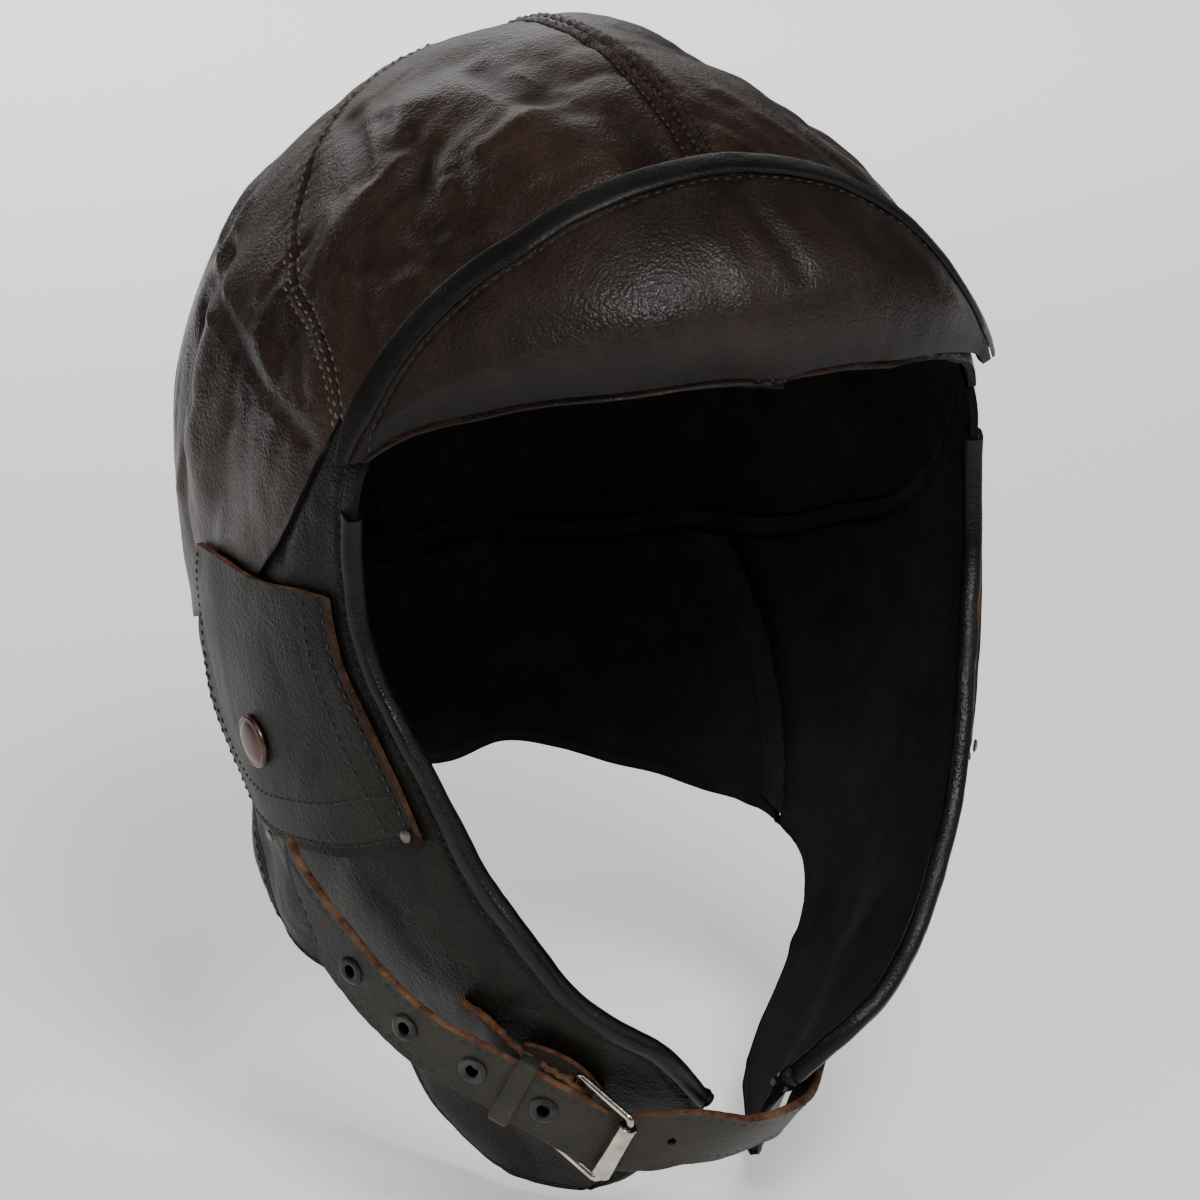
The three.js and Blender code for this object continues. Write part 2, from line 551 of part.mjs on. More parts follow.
const snap = { radius: snapRadius, height: snapHeight, facets: 20 };
const rivet = { radius: rivetRadius, height: rivetHeight, facets: 8 };
const fittings = [
  { name: 'snap_cap', place: mapPoint(-85.5, 1.48), onPocket: true, ...snap },
  { name: 'front_rivet', place: mapPoint(-57, 1.56), onPocket: true, ...rivet },
  { name: 'rear_rivet', place: mapPoint(-93, 1.72), onPocket: false, ...rivet },
];
for (const { side, place, placeEdge } of sides) {
  addPiece(`ear_pocket_${side}`, sheet(place(pocketGrid), pocketWall, (u, v, map) => pocketHeight(map)),
    materials.flapLeather);
  for (const fitting of fittings) {
    const [map] = placeEdge([fitting.place]);
    const lift = clearance + (fitting.onPocket ? pocketHeight(map) + pocketWall : 0);
    addPiece(`${fitting.name}_${side}`, domeCap(map, lift, fitting), materials.snapMetal);
  }
  const edge = placeEdge(faceEdge);
  const stations = edgeStations(edge, placeEdge(earFlapGrid[1]), skinLift, skinLift, leatherWall);
  addPiece(`face_binding_${side}`, edgeBinding(stations.slice(1), leatherWall, faceBindingLeg),
    materials.bindingLeather);
}

// The chin strap's own frame: t runs from the free tip to the sewn end, across points down over
// the strap's width and up points away from the head. Heights count from its inner face.
const strapCentres = strapRows.map(({ turn, reach, lift }) => (
  skinPoint(mapPoint(turn, reach), lift * strapStandOff)));
const strapCurve = new THREE.CatmullRomCurve3(strapCentres, false, 'catmullrom', 0.5);
const strapAcross = new THREE.CatmullRomCurve3(strapRows.map(({ turn, reach, lean }, i) => {
  const tangent = strapCurve.getTangent(i / (strapRows.length - 1));
  const normal = headNormal(mapPoint(turn, reach));
  normal.addScaledVector(tangent, -normal.dot(tangent)).normalize();
  const down = normal.clone().cross(tangent);
  if (down.z > 0) down.negate();
  return down.multiplyScalar(Math.cos(degToRad(lean))).addScaledVector(normal, Math.sin(degToRad(lean)));
}), false, 'catmullrom', 0.5);
const strapMaps = new THREE.SplineCurve(strapRows.map(({ turn, reach }) => mapPoint(turn, reach)));
strapCurve.arcLengthDivisions = 600;
const strapLength = strapCurve.getLength();

function strapFrame(distance) {
  const t = strapCurve.getUtoTmapping(clamp(distance / strapLength, 0, 1));
  const centre = strapCurve.getPoint(t);
  const tangent = strapCurve.getTangent(t);
  const across = strapAcross.getPoint(t);
  across.addScaledVector(tangent, -across.dot(tangent)).normalize();
  const up = across.clone().cross(tangent);
  if (up.dot(headNormal(strapMaps.getPoint(t))) < 0) up.negate();
  return { centre, tangent, across, up, map: strapMaps.getPoint(t) };
}

const inFrame = ({ centre, tangent, across, up }, along, wide, high) => centre.clone()
  .addScaledVector(tangent, along).addScaledVector(across, wide).addScaledVector(up, high);

// Turns a geometry made round Y so that Y points along axis, and sets it at point.
function standOn(geometry, point, axis) {
  const turn = new THREE.Quaternion().setFromUnitVectors(new THREE.Vector3(0, 1, 0), axis);
  return geometry.applyQuaternion(turn).translate(point.x, point.y, point.z);
}

function toSolid(geometry) {
  const bare = geometry.clone();
  bare.deleteAttribute('normal');
  bare.deleteAttribute('uv');
  const merged = mergeVertices(bare, 1e-4);
  return new wasm.Manifold(new wasm.Mesh({
    numProp: 3,
    vertProperties: new Float32Array(merged.getAttribute('position').array),
    triVerts: new Uint32Array(merged.getIndex().array),
  }));
}

function fromSolid(solid) {
  const { vertProperties, triVerts } = solid.getMesh();
  const geometry = new THREE.BufferGeometry();
  geometry.setAttribute('position', new THREE.BufferAttribute(vertProperties, 3));
  geometry.setIndex(new THREE.BufferAttribute(triVerts, 1));
  return geometry;
}

const holeFacets = 12;
const eyeletPlaces = Array.from({ length: eyeletCount }, (_, i) => rollerDistance - (i + 1) * eyeletPitch);
const strapSections = 56;
const strapRings = Array.from({ length: strapSections + 1 }, (_, i) => {
  const distance = strapLength * i / strapSections;
  const half = strapWidth / 2 * Math.min(1, 0.1 + 0.9 * (distance / strapTipLength) ** 0.8);
  const frame = strapFrame(distance);
  return [[-half, 0], [half, 0], [half, strapWall], [-half, strapWall]]
    .map(([wide, high]) => inFrame(frame, 0, wide, high));
});
const punch = (distance, radius) => {
  const frame = strapFrame(distance);
  const drill = new THREE.CylinderGeometry(radius, radius, strapWall * 3, holeFacets);
  return toSolid(standOn(drill, frame.centre, frame.up));
};
const strapSolid = [...eyeletPlaces.map((place) => punch(place, eyeletBarrel + clearance)),
  punch(rollerDistance + prongHoleDistance, prongHoleRadius)]
  .reduce((solid, hole) => solid.subtract(hole), toSolid(loftRings(strapRings)));
addPiece('chin_strap', fromSolid(strapSolid), materials.strapLeather);

const eyeletTop = strapWall + clearance;
const eyeletProfile = [
  [eyeletBore, -clearance - eyeletWall], [eyeletRadius, -clearance - eyeletWall], [eyeletRadius, -clearance],
  [eyeletBarrel, -clearance], [eyeletBarrel, eyeletTop], [eyeletRadius, eyeletTop],
  [eyeletRadius, eyeletTop + eyeletWall], [eyeletBore, eyeletTop + eyeletWall],
  [eyeletBore, -clearance - eyeletWall],
].map(([x, y]) => new THREE.Vector2(x, y));
eyeletPlaces.forEach((place, i) => {
  const frame = strapFrame(place);
  const ring = new THREE.LatheGeometry(eyeletProfile, holeFacets);
  addPiece(`eyelet_${i + 1}`, standOn(ring, frame.centre, frame.up), materials.eyeletMetal);
});

// The roller lies on the strap and the frame's other bar under it, inside the tab's fold.
const rollerFrame = strapFrame(rollerDistance);
const rollerHeight = strapWall + rollerClearance + rollerRadius;
const sleeveRadius = frameWireRadius + clearance + tabWall;
const barDepth = eyeletWall + 2 * clearance + sleeveRadius;
const barFrame = strapFrame(rollerDistance - frameLength);
const rollerCentre = inFrame(rollerFrame, 0, 0, rollerHeight);
const barCentre = inFrame(barFrame, 0, 0, -barDepth);
const frameAlong = rollerCentre.clone().sub(barCentre);
const frameAcross = rollerFrame.across.clone().add(barFrame.across).normalize();
frameAcross.addScaledVector(frameAlong, -frameAcross.dot(frameAlong) / frameAlong.lengthSq()).normalize();
const frameHalfWidth = strapWidth / 2 + frameSideGap + frameWireRadius;
const rollerHalf = frameHalfWidth - frameCornerRadius - clearance;
const rollerBore = frameWireRadius + clearance;
const rollerProfile = [[rollerBore, -rollerHalf], [rollerRadius, -rollerHalf], [rollerRadius, rollerHalf],
  [rollerBore, rollerHalf], [rollerBore, -rollerHalf]].map(([x, y]) => new THREE.Vector2(x, y));
addPiece('buckle_roller', standOn(new THREE.LatheGeometry(rollerProfile, 16), rollerCentre, frameAcross),
  materials.buckleMetal);

// A round wire through a closed row of points that lies in one plane.
function wireLoop(points, radius, wireSides, planeNormal) {
  return loftRings(points.map((point, i) => {
    const next = points[(i + 1) % points.length];
    const last = points[(i + points.length - 1) % points.length];
    const side = next.clone().sub(last).normalize().cross(planeNormal).normalize();
    return Array.from({ length: wireSides }, (_, k) => {
      const angle = 2 * Math.PI * k / wireSides;
      return point.clone().addScaledVector(side, radius * Math.cos(angle))
        .addScaledVector(planeNormal, radius * Math.sin(angle));
    });
  }), true);
}

const frameSpan = frameAlong.length();
const frameDirection = frameAlong.clone().normalize();
const frameUp = frameAcross.clone().cross(frameDirection);
const cornerSpots = [
  { x: frameSpan - frameCornerRadius, y: frameCornerRadius - frameHalfWidth, start: -90 },
  { x: frameSpan - frameCornerRadius, y: frameHalfWidth - frameCornerRadius, start: 0 },
  { x: frameCornerRadius, y: frameHalfWidth - frameCornerRadius, start: 90 },
  { x: frameCornerRadius, y: frameCornerRadius - frameHalfWidth, start: 180 },
];
const framePoints = cornerSpots.flatMap(({ x, y, start }) => [0, 30, 60, 90].map((step) => {
  const angle = degToRad(start + step);
  return barCentre.clone().addScaledVector(frameDirection, x + frameCornerRadius * Math.cos(angle))
    .addScaledVector(frameAcross, y + frameCornerRadius * Math.sin(angle));
}));
addPiece('buckle_frame', wireLoop(framePoints, frameWireRadius, 8, frameUp), materials.buckleMetal);

// The tab folds round the frame's bar: a sleeve on a strip that ends sewn to the flap.
const tabRings = tabRows.map(({ back, drop, seat }) => {
  const frame = strapFrame(rollerDistance - back * frameLength);
  const normal = headNormal(frame.map);
  const down = frame.tangent.clone().cross(normal).normalize();
  if (down.dot(frame.across) < 0) down.negate();
  const across = frame.across.clone().lerp(down, seat).normalize();
  const up = frame.up.clone().lerp(normal, seat).normalize();
  const centre = inFrame(frame, 0, 0, -drop * barDepth)
    .lerp(skinPoint(frame.map, clearance + tabWall), seat);
  const place = { centre, across, up, tangent: frame.tangent };
  const half = tabWidth / 2;
  return [[-half, -tabWall], [half, -tabWall], [half, tabWall], [-half, tabWall]]
    .map(([wide, high]) => inFrame(place, 0, wide, high));
});
const round = (radius, length) => toSolid(standOn(new THREE.CylinderGeometry(radius, radius, length, 16),
  barCentre, frameAcross));
const tabSolid = toSolid(loftRings(tabRings)).add(round(sleeveRadius, tabWidth))
  .subtract(round(frameWireRadius + clearance, tabWidth * 2));
addPiece('buckle_tab', fromSolid(tabSolid), materials.strapLeather);

// A patch of leather sewn to the flap under the buckle.
const patchCells = 6;
const patchGrid = betweenSeams(sampleCurve(seamRows.patchTop, patchCells),
  sampleCurve(seamRows.patchHem, patchCells), patchCells);
addPiece('buckle_patch', sheet(patchGrid, patchWall, () => patchLift), materials.strapLeather);

// The keeper is a leather loop round the strap, standing on the tab.
const keeperFrame = strapFrame(rollerDistance - keeperDistance);
const keeperHalf = strapWidth / 2 + clearance;
const keeperTop = strapWall + clearance;
const keeperRings = [-1, 1].map((end) => [
  [-keeperHalf, -clearance], [keeperHalf, -clearance], [keeperHalf, keeperTop], [-keeperHalf, keeperTop],
].map(([wide, high]) => ({ wide, high, along: end * keeperWidth / 2 })));
const keeperBlock = (grow, stretch) => toSolid(loftRings(keeperRings.map((ring) => (
  ring.map(({ wide, high, along }) => inFrame(keeperFrame, along * stretch,
    wide + Math.sign(wide) * grow, high + Math.sign(high) * grow))))));
addPiece('strap_keeper', fromSolid(keeperBlock(keeperWall, 1).subtract(keeperBlock(0, 2))),
  materials.strapLeather);

export default helmet;
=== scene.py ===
# Leather flying helmet: its soft panels, bindings, stitches, strap, fittings and finishes.
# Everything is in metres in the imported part's frame: the face opening looks along -Y.
import math

import bpy
import numpy as np
from mathutils import Matrix, Vector, noise


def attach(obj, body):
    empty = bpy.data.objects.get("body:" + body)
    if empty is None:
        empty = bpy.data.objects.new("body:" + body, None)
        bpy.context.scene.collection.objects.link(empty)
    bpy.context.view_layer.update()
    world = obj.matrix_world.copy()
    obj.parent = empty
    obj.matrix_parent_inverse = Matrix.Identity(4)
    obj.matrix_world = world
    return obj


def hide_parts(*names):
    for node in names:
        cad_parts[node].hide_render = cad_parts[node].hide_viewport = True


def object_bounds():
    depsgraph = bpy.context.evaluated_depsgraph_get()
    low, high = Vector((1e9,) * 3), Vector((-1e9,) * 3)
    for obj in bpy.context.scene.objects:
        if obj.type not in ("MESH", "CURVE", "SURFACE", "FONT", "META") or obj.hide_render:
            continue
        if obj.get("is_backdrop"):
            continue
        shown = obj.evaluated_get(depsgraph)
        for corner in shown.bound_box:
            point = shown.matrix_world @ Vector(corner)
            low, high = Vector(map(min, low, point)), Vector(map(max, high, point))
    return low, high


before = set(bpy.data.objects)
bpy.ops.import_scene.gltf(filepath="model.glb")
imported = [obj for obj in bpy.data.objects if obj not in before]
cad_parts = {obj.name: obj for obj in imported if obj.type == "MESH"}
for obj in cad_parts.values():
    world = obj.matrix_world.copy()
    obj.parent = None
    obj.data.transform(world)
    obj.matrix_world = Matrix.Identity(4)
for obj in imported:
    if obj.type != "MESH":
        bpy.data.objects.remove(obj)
frameLow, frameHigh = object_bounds()
print("frame loaded:", len(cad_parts), "nodes")

# Head form
headSizes = {
    "halfWidth": 0.086, "frontReach": 0.1035, "backReach": 0.108, "crownDepth": 0.093, "flapDepth": 0.258,
    "sideFullness": 1.85, "frontFullness": 2.1, "backFullness": 1.95, "planBoxiness": 2.25, "wall": 0.0018,
}
headRows = {  # below the widest ring, by reach: drop, side, front and back as shares
    "reach": [1.0, 1.2, 1.4, 1.6, 1.8, 2.0, 2.2, 2.4, 2.6, 2.8],
    "drop": [0.093 / 0.258, 0.457, 0.55, 0.647, 0.736, 0.81, 0.88, 0.942, 1, 1.05],
    "side": [1, 0.995, 0.968, 0.92, 0.85, 0.75, 0.61, 0.48, 0.37, 0.3],
    "front": [1, 1, 1, 1, 0.995, 0.965, 0.83, 0.7, 0.61, 0.53],
    "back": [1, 0.98, 0.92, 0.84, 0.75, 0.69, 0.64, 0.58, 0.5, 0.44],
}
foldRows = [  # turn, reach to turn, reach, then depth and width in millimetres
    (-100, 0.72, -98, 0.98, 2.4, 9.9), (-106, 0.7, -108, 1.0, -2.4, 9), (-80, 0.74, -90, 1.02, -1.5, 9),
    (-84, 0.36, -74, 0.58, 1.5, 9.9), (-62, 0.36, -66, 0.6, -1.5, 9.9), (-92, 0.2, -34, 0.22, -1.5, 8.1),
    (-40, 0.32, -22, 0.42, 1.2, 9), (60, 0.3, 78, 0.62, 1.5, 9.9), (96, 0.62, 104, 0.98, -2.1, 9.9),
    (84, 0.72, 90, 1.0, 1.5, 9), (150, 0.7, 146, 1.1, -1.8, 10.8), (-152, 0.74, -144, 1.15, 1.8, 10.8),
    (-110, 1.84, -98, 2.02, 4.5, 14.4), (-80, 2.4, -68, 2.54, 4.8, 14.4), (-44, 2.0, -28, 2.08, -3, 9.9),
    (62, 2.0, 38, 2.26, -8.1, 19.8), (-104, 1.3, -100, 1.6, -2.1, 16.2), (76, 0.28, 66, 0.39, -3.6, 18.9),
    (136, 0.14, 108, 0.16, 2.1, 14.4), (-134, 0.5, -126, 0.72, -1.35, 21.6),
    (-114, 1.72, -104, 1.8, -4.2, 13.5),
]
creaseRows = [  # the same for finer creases that only the surface shows
    (-80, 0.22, -46, 0.27, -1.4, 5), (-46, 0.27, -27, 0.32, -1.8, 5), (-15, 0.32, -7, 0.43, -2, 5.5),
    (-102, 0.39, -78, 0.48, -1.6, 3.6), (-89, 0.38, -78, 0.43, -1.3, 3), (-75, 0.4, -63, 0.48, -1.5, 4.5),
    (-63, 0.48, -56, 0.55, -1.3, 4.5), (-58, 0.41, -49, 0.52, -0.8, 3.5), (-75, 0.62, -61, 0.6, -1.2, 3.5),
    (-61, 0.6, -47, 0.58, -1.2, 3.5), (-110, 0.67, -97, 0.75, -1.2, 3), (-97, 0.75, -82, 0.84, -1.2, 3),
    (-82, 0.84, -72, 0.89, -0.9, 3), (-112, 0.69, -99, 0.77, 0.9, 3), (-90, 0.73, -86, 0.6, -0.9, 3),
    (-52, 0.4, -31, 0.31, 0.8, 3), (-35, 0.47, -21, 0.43, -0.6, 3), (6, 0.33, 24, 0.52, -0.9, 3),
    (21, 0.29, 30, 0.42, 0.8, 3.5), (-80, 0.73, -74, 0.83, -0.7, 2.6), (-67, 0.67, -61, 0.74, -0.8, 3),
    (-110, 0.77, -100, 0.91, -1.1, 3.5), (-129, 0.57, -120, 0.67, 0.8, 4), (-53, 0.66, -58, 0.58, 0.6, 3),
    (-83, 0.55, -69, 0.66, 0.9, 4),
    (-97, 0.5, -84, 0.64, -0.9, 4.2), (-74, 0.44, -80, 0.62, 0.8, 4.5), (-66, 0.4, -71, 0.64, -1.0, 4.2),
    (-56, 0.36, -60, 0.62, 0.7, 5), (-88, 0.76, -80, 0.86, 0.7, 4), (-96, 0.62, -84, 0.82, 0.5, 4.5),
    (-44, 0.22, -30, 0.4, -0.8, 6), (-30, 0.3, -24, 0.44, 0.6, 5), (-62, 0.66, -50, 0.6, 0.5, 6),
    (-112, 0.6, -110, 1.1, 1.1, 5), (-118, 0.62, -116, 1.2, -0.9, 5), (-124, 0.6, -124, 1.25, 0.8, 6),
    (-90, 0.9, -96, 1.2, -0.7, 5), (-72, 0.93, -78, 1.1, -0.6, 3.2), (-70, 1.0, -80, 1.2, 0.5, 3.5),
    (-84, 0.86, -98, 1.06, 0.6, 4), (-95, 1.78, -80, 2.0, -0.8, 5), (-104, 1.9, -92, 2.1, -0.9, 4),
    (-80, 2.0, -70, 2.3, 0.6, 6), (-58, 1.9, -44, 2.1, 0.5, 6), (-66, 1.7, -58, 1.9, -0.5, 6),
    (44, 0.3, 60, 0.5, 0.6, 4.5), (52, 0.28, 70, 0.52, -0.5, 4.5), (70, 0.4, 84, 0.6, 0.6, 5),
    (88, 0.5, 96, 0.8, -0.7, 5), (76, 0.7, 82, 0.96, 0.6, 5), (104, 0.7, 110, 1.2, 0.8, 5),
    (120, 0.6, 122, 1.2, -0.8, 6), (140, 0.5, 136, 1.1, 0.7, 6), (-140, 0.5, -136, 1.2, -0.7, 6),
    (160, 0.6, 158, 1.2, 0.6, 6), (-164, 0.6, -168, 1.3, 0.6, 6), (80, 1.9, 66, 2.2, 0.7, 5),
    (96, 1.8, 84, 2.1, -0.8, 5), (-150, 1.5, -146, 1.8, 0.6, 6), (148, 1.5, 152, 1.8, -0.6, 6),
]
seamRows = {
    "arch": [(-66, 0.84), (-70, 0.76), (-76, 0.71), (-84, 0.66), (-92, 0.57), (-102, 0.47), (-122, 0.35),
             (-180, 0.26)],
    "forehead": [(-61, 0.905), (-54, 0.86), (-40, 0.82), (-20, 0.8), (0, 0.8)],
    "crownHem": [(-69, 0.91), (-72, 0.97), (-76, 1.05), (-82, 1.15), (-95, 1.28), (-118, 1.38), (-150, 1.43),
                 (-180, 1.44)],
    "faceEdge": [(-61, 0.905), (-63, 1.0), (-63, 1.1), (-61.5, 1.24), (-57.5, 1.35), (-52, 1.49), (-47, 1.63),
                 (-41, 1.74), (-35, 1.87), (-27, 1.97), (-17, 2.08), (-9, 2.2)],
    "flapHem": [(-104, 1.95), (-94, 2.01), (-88.5, 2.11), (-85, 2.26), (-80.5, 2.43), (-72.5, 2.55),
                (-58, 2.61), (-44, 2.61), (-30, 2.54), (-18, 2.43), (-11, 2.31), (-9, 2.2)],
    "napeHem": [(-104, 1.95), (-125, 1.92), (-150, 1.87), (-180, 1.85)],
    "peakEdge": [(-62.8, 0.905), (-62.2, 0.86), (-60.5, 0.81), (-58, 0.765), (-55, 0.715), (-50, 0.66),
                 (-44, 0.61), (-37, 0.57), (-30, 0.53), (-22, 0.5), (-10, 0.47), (0, 0.46)],
    "peakBase": [(-60.2, 0.905), (-54, 0.855), (-40, 0.815), (-20, 0.795), (0, 0.795)],
    "peakLeftEdge": [(0, 0.46), (10, 0.474), (21, 0.508), (29, 0.553), (35, 0.605), (40, 0.66), (44.5, 0.715),
                     (49, 0.765), (53.5, 0.808), (57.3, 0.842)],
    "peakLeftBase": [(0, 0.795), (20, 0.795), (38, 0.812), (50, 0.838), (55.5, 0.864)],
    "pocketFront": [(-67, 1.15), (-65.5, 1.26), (-61.8, 1.36), (-58, 1.47), (-55, 1.58)],
    "pocketRear": [(-97, 1.16), (-101, 1.26), (-105, 1.38), (-107, 1.5), (-102, 1.6), (-94, 1.665)],
    "pocketTop": [(-67, 1.15), (-82, 1.16), (-97, 1.16)],
    "pocketHem": [(-55, 1.58), (-69, 1.64), (-83, 1.675), (-94, 1.665)],
    "patchTop": [(-47, 2.03), (-41, 2.05), (-36, 2.09), (-32, 2.15)],
    "patchHem": [(-50, 2.18), (-42, 2.23), (-34, 2.28)],
}


def rowValue(rows, column, at):
    keys, values = np.array(rows["reach"]), np.array(rows[column])
    at = np.clip(at, keys[0], keys[-1])
    i = np.clip(np.searchsorted(keys, at, side="right") - 1, 0, len(keys) - 2)
    last = len(keys) - 1
    before, after = np.maximum(np.arange(last + 1) - 1, 0), np.minimum(np.arange(last + 1) + 1, last)
    slope = (values[after] - values[before]) / (keys[after] - keys[before])
    step = keys[i + 1] - keys[i]
    t = (at - keys[i]) / step
    rise = values[i + 1] - values[i]
    first, second = slope[i] * step, slope[i + 1] * step
    bend, twist = 3 * rise - 2 * first - second, first + second - 2 * rise
    return values[i] + t * first + t * t * bend + t**3 * twist


def mapPoint(turn, reach):
    angle = np.radians(turn)
    return np.stack([reach * np.sin(angle), reach * np.cos(angle)], -1)


def headPoint(place):
    size = headSizes
    reach = np.maximum(np.hypot(place[..., 0], place[..., 1]), 1e-6)
    sine, cosine = place[..., 0] / reach, place[..., 1] / reach
    rise = np.minimum(reach, 1) * math.pi / 2
    ends = np.where(cosine > 0, size["frontFullness"], size["backFullness"])
    power = 2 / (size["sideFullness"] * sine**2 + ends * cosine**2)

    def spread(column):
        return np.where(reach < 1, np.sin(rise) ** power, rowValue(headRows, column, reach))

    plan = 2 / size["planBoxiness"]
    x = spread("side") * size["halfWidth"] * np.sign(sine) * np.abs(sine) ** plan
    y = np.where(cosine > 0, -spread("front") * size["frontReach"], spread("back") * size["backReach"])
    drop = np.where(reach < 1, size["crownDepth"] * (1 - np.maximum(np.cos(rise), 0) ** power),
                    size["flapDepth"] * rowValue(headRows, "drop", reach))
    return np.stack([x, y * np.abs(cosine) ** plan, size["wall"] - drop], -1)


def headNormal(place, step=0.01):
    side, ahead = np.array([step, 0.0]), np.array([0.0, step])
    normal = np.cross(headPoint(place + ahead) - headPoint(place - ahead),
                      headPoint(place + side) - headPoint(place - side))
    return normal / np.linalg.norm(normal, axis=-1, keepdims=True)


def foldHeight(points, rows):
    height = np.zeros(points.shape[:-1])
    for turnA, reachA, turnB, reachB, depth, width in rows:
        start, end = headPoint(mapPoint(turnA, reachA)), headPoint(mapPoint(turnB, reachB))
        along = end - start
        share = np.clip((points - start) @ along / (along @ along), 0, 1)
        away = np.linalg.norm(points - start - share[..., None] * along, axis=-1)
        height += depth * 0.001 * np.exp(-((away / (width * 0.001)) ** 2))
    return height


def skinPoint(place, lift=0.0):
    points = headPoint(place)
    return points + headNormal(place) * (foldHeight(points, foldRows) + lift)[..., None]


def splineLine(points, samples, extend=False):
    # A uniform Catmull-Rom curve through the points, at evenly spread shares of its parameter.
    points = np.asarray(points, float)
    last = len(points) - 1
    padded = np.vstack([2 * points[0] - points[1] if extend else points[0], points,
                        2 * points[-1] - points[-2] if extend else points[-1]])
    at = np.linspace(0, last, samples + 1)
    i = np.minimum(at.astype(int), last - 1)
    t = (at - i)[:, None]
    a, b, c, d = padded[i], padded[i + 1], padded[i + 2], padded[i + 3]
    return 0.5 * (2 * b + (c - a) * t + (2 * a - 5 * b + 4 * c - d) * t**2 + (3 * b - a - 3 * c + d) * t**3)


def evenLine(points, cells):
    length = np.concatenate([[0], np.cumsum(np.linalg.norm(np.diff(points, axis=0), axis=1))])
    at = np.linspace(0, length[-1], cells + 1)
    return np.stack([np.interp(at, length, points[:, k]) for k in range(points.shape[1])], 1)


def sampleCurve(name, cells):
    return evenLine(splineLine([mapPoint(*row) for row in seamRows[name]], 600), cells)


def lerpLine(start, end, cells):
    return start + (end - start) * np.linspace(0, 1, cells + 1)[:, None]


def refine(points, factor, corners=()):
    # Smooths a coarse row of places into a fine one that keeps its corners.
    stops = [0, *corners, len(points) - 1]
    parts = [splineLine(points[a:b + 1], (b - a) * factor, extend=b - a > 1)
             for a, b in zip(stops[:-1], stops[1:])]
    return np.vstack([part[:-1] for part in parts] + [parts[-1][-1:]])


def fillPatch(top, bottom, front, rear):
    u = np.linspace(0, 1, len(top))[:, None, None]
    v = np.linspace(0, 1, len(front))[None, :, None]
    return (top[:, None] * (1 - v) + bottom[:, None] * v + front[None] * (1 - u) + rear[None] * u
            - top[0] * (1 - u) * (1 - v) - top[-1] * u * (1 - v)
            - bottom[0] * (1 - u) * v - bottom[-1] * u * v)


def betweenSeams(top, bottom, cells):
    return fillPatch(top, bottom, lerpLine(top[0], bottom[0], cells), lerpLine(top[-1], bottom[-1], cells))


def mirrorTail(line):
    return line[:-1][::-1] * np.array([-1.0, 1.0])


# Node helpers for the finishes
def addNode(tree, kind, inputs=(), **settings):
    node = tree.nodes.new(kind)
    for key, value in settings.items():
        setattr(node, key, value)
    for key, value in dict(inputs).items():
        if isinstance(value, bpy.types.NodeSocket):
            tree.links.new(value, node.inputs[key])
        else:
            node.inputs[key].default_value = value
    return node


def mathNode(tree, operation, first, second=0.0):
    node = addNode(tree, "ShaderNodeMath", {0: first, 1: second}, operation=operation)
    return node.outputs["Value"]


def mixColour(tree, factor, first, second, blend="MIX"):
    node = addNode(tree, "ShaderNodeMix", data_type="RGBA", blend_type=blend)
    for key, value in (("Factor", factor), ("A", first), ("B", second)):
        socket = [s for s in node.inputs if s.name == key and s.enabled][0]
        if isinstance(value, bpy.types.NodeSocket):
            tree.links.new(value, socket)
        else:
            socket.default_value = value if key == "Factor" else (*value, 1)
    return [s for s in node.outputs if s.enabled][0]


def newGroup(name, inputs, outputs):
    tree = bpy.data.node_groups.new(name, "ShaderNodeTree")
    for socketName, kind, value in inputs:
        socket = tree.interface.new_socket(socketName, in_out="INPUT", socket_type=kind)
        if value is not None:
            socket.default_value = value
    for socketName, kind in outputs:
        tree.interface.new_socket(socketName, in_out="OUTPUT", socket_type=kind)
    start = tree.nodes.new("NodeGroupInput")
    end = tree.nodes.new("NodeGroupOutput")
    return tree, start.outputs, end


grainSettings = {"warpScale": 300.0, "warp": 0.0012, "creaseDetail": 4.0,
                 "creaseRoughness": 0.6, "creaseWidth": 0.07, "poresPerMetre": 2400.0, "poreShare": 0.7}


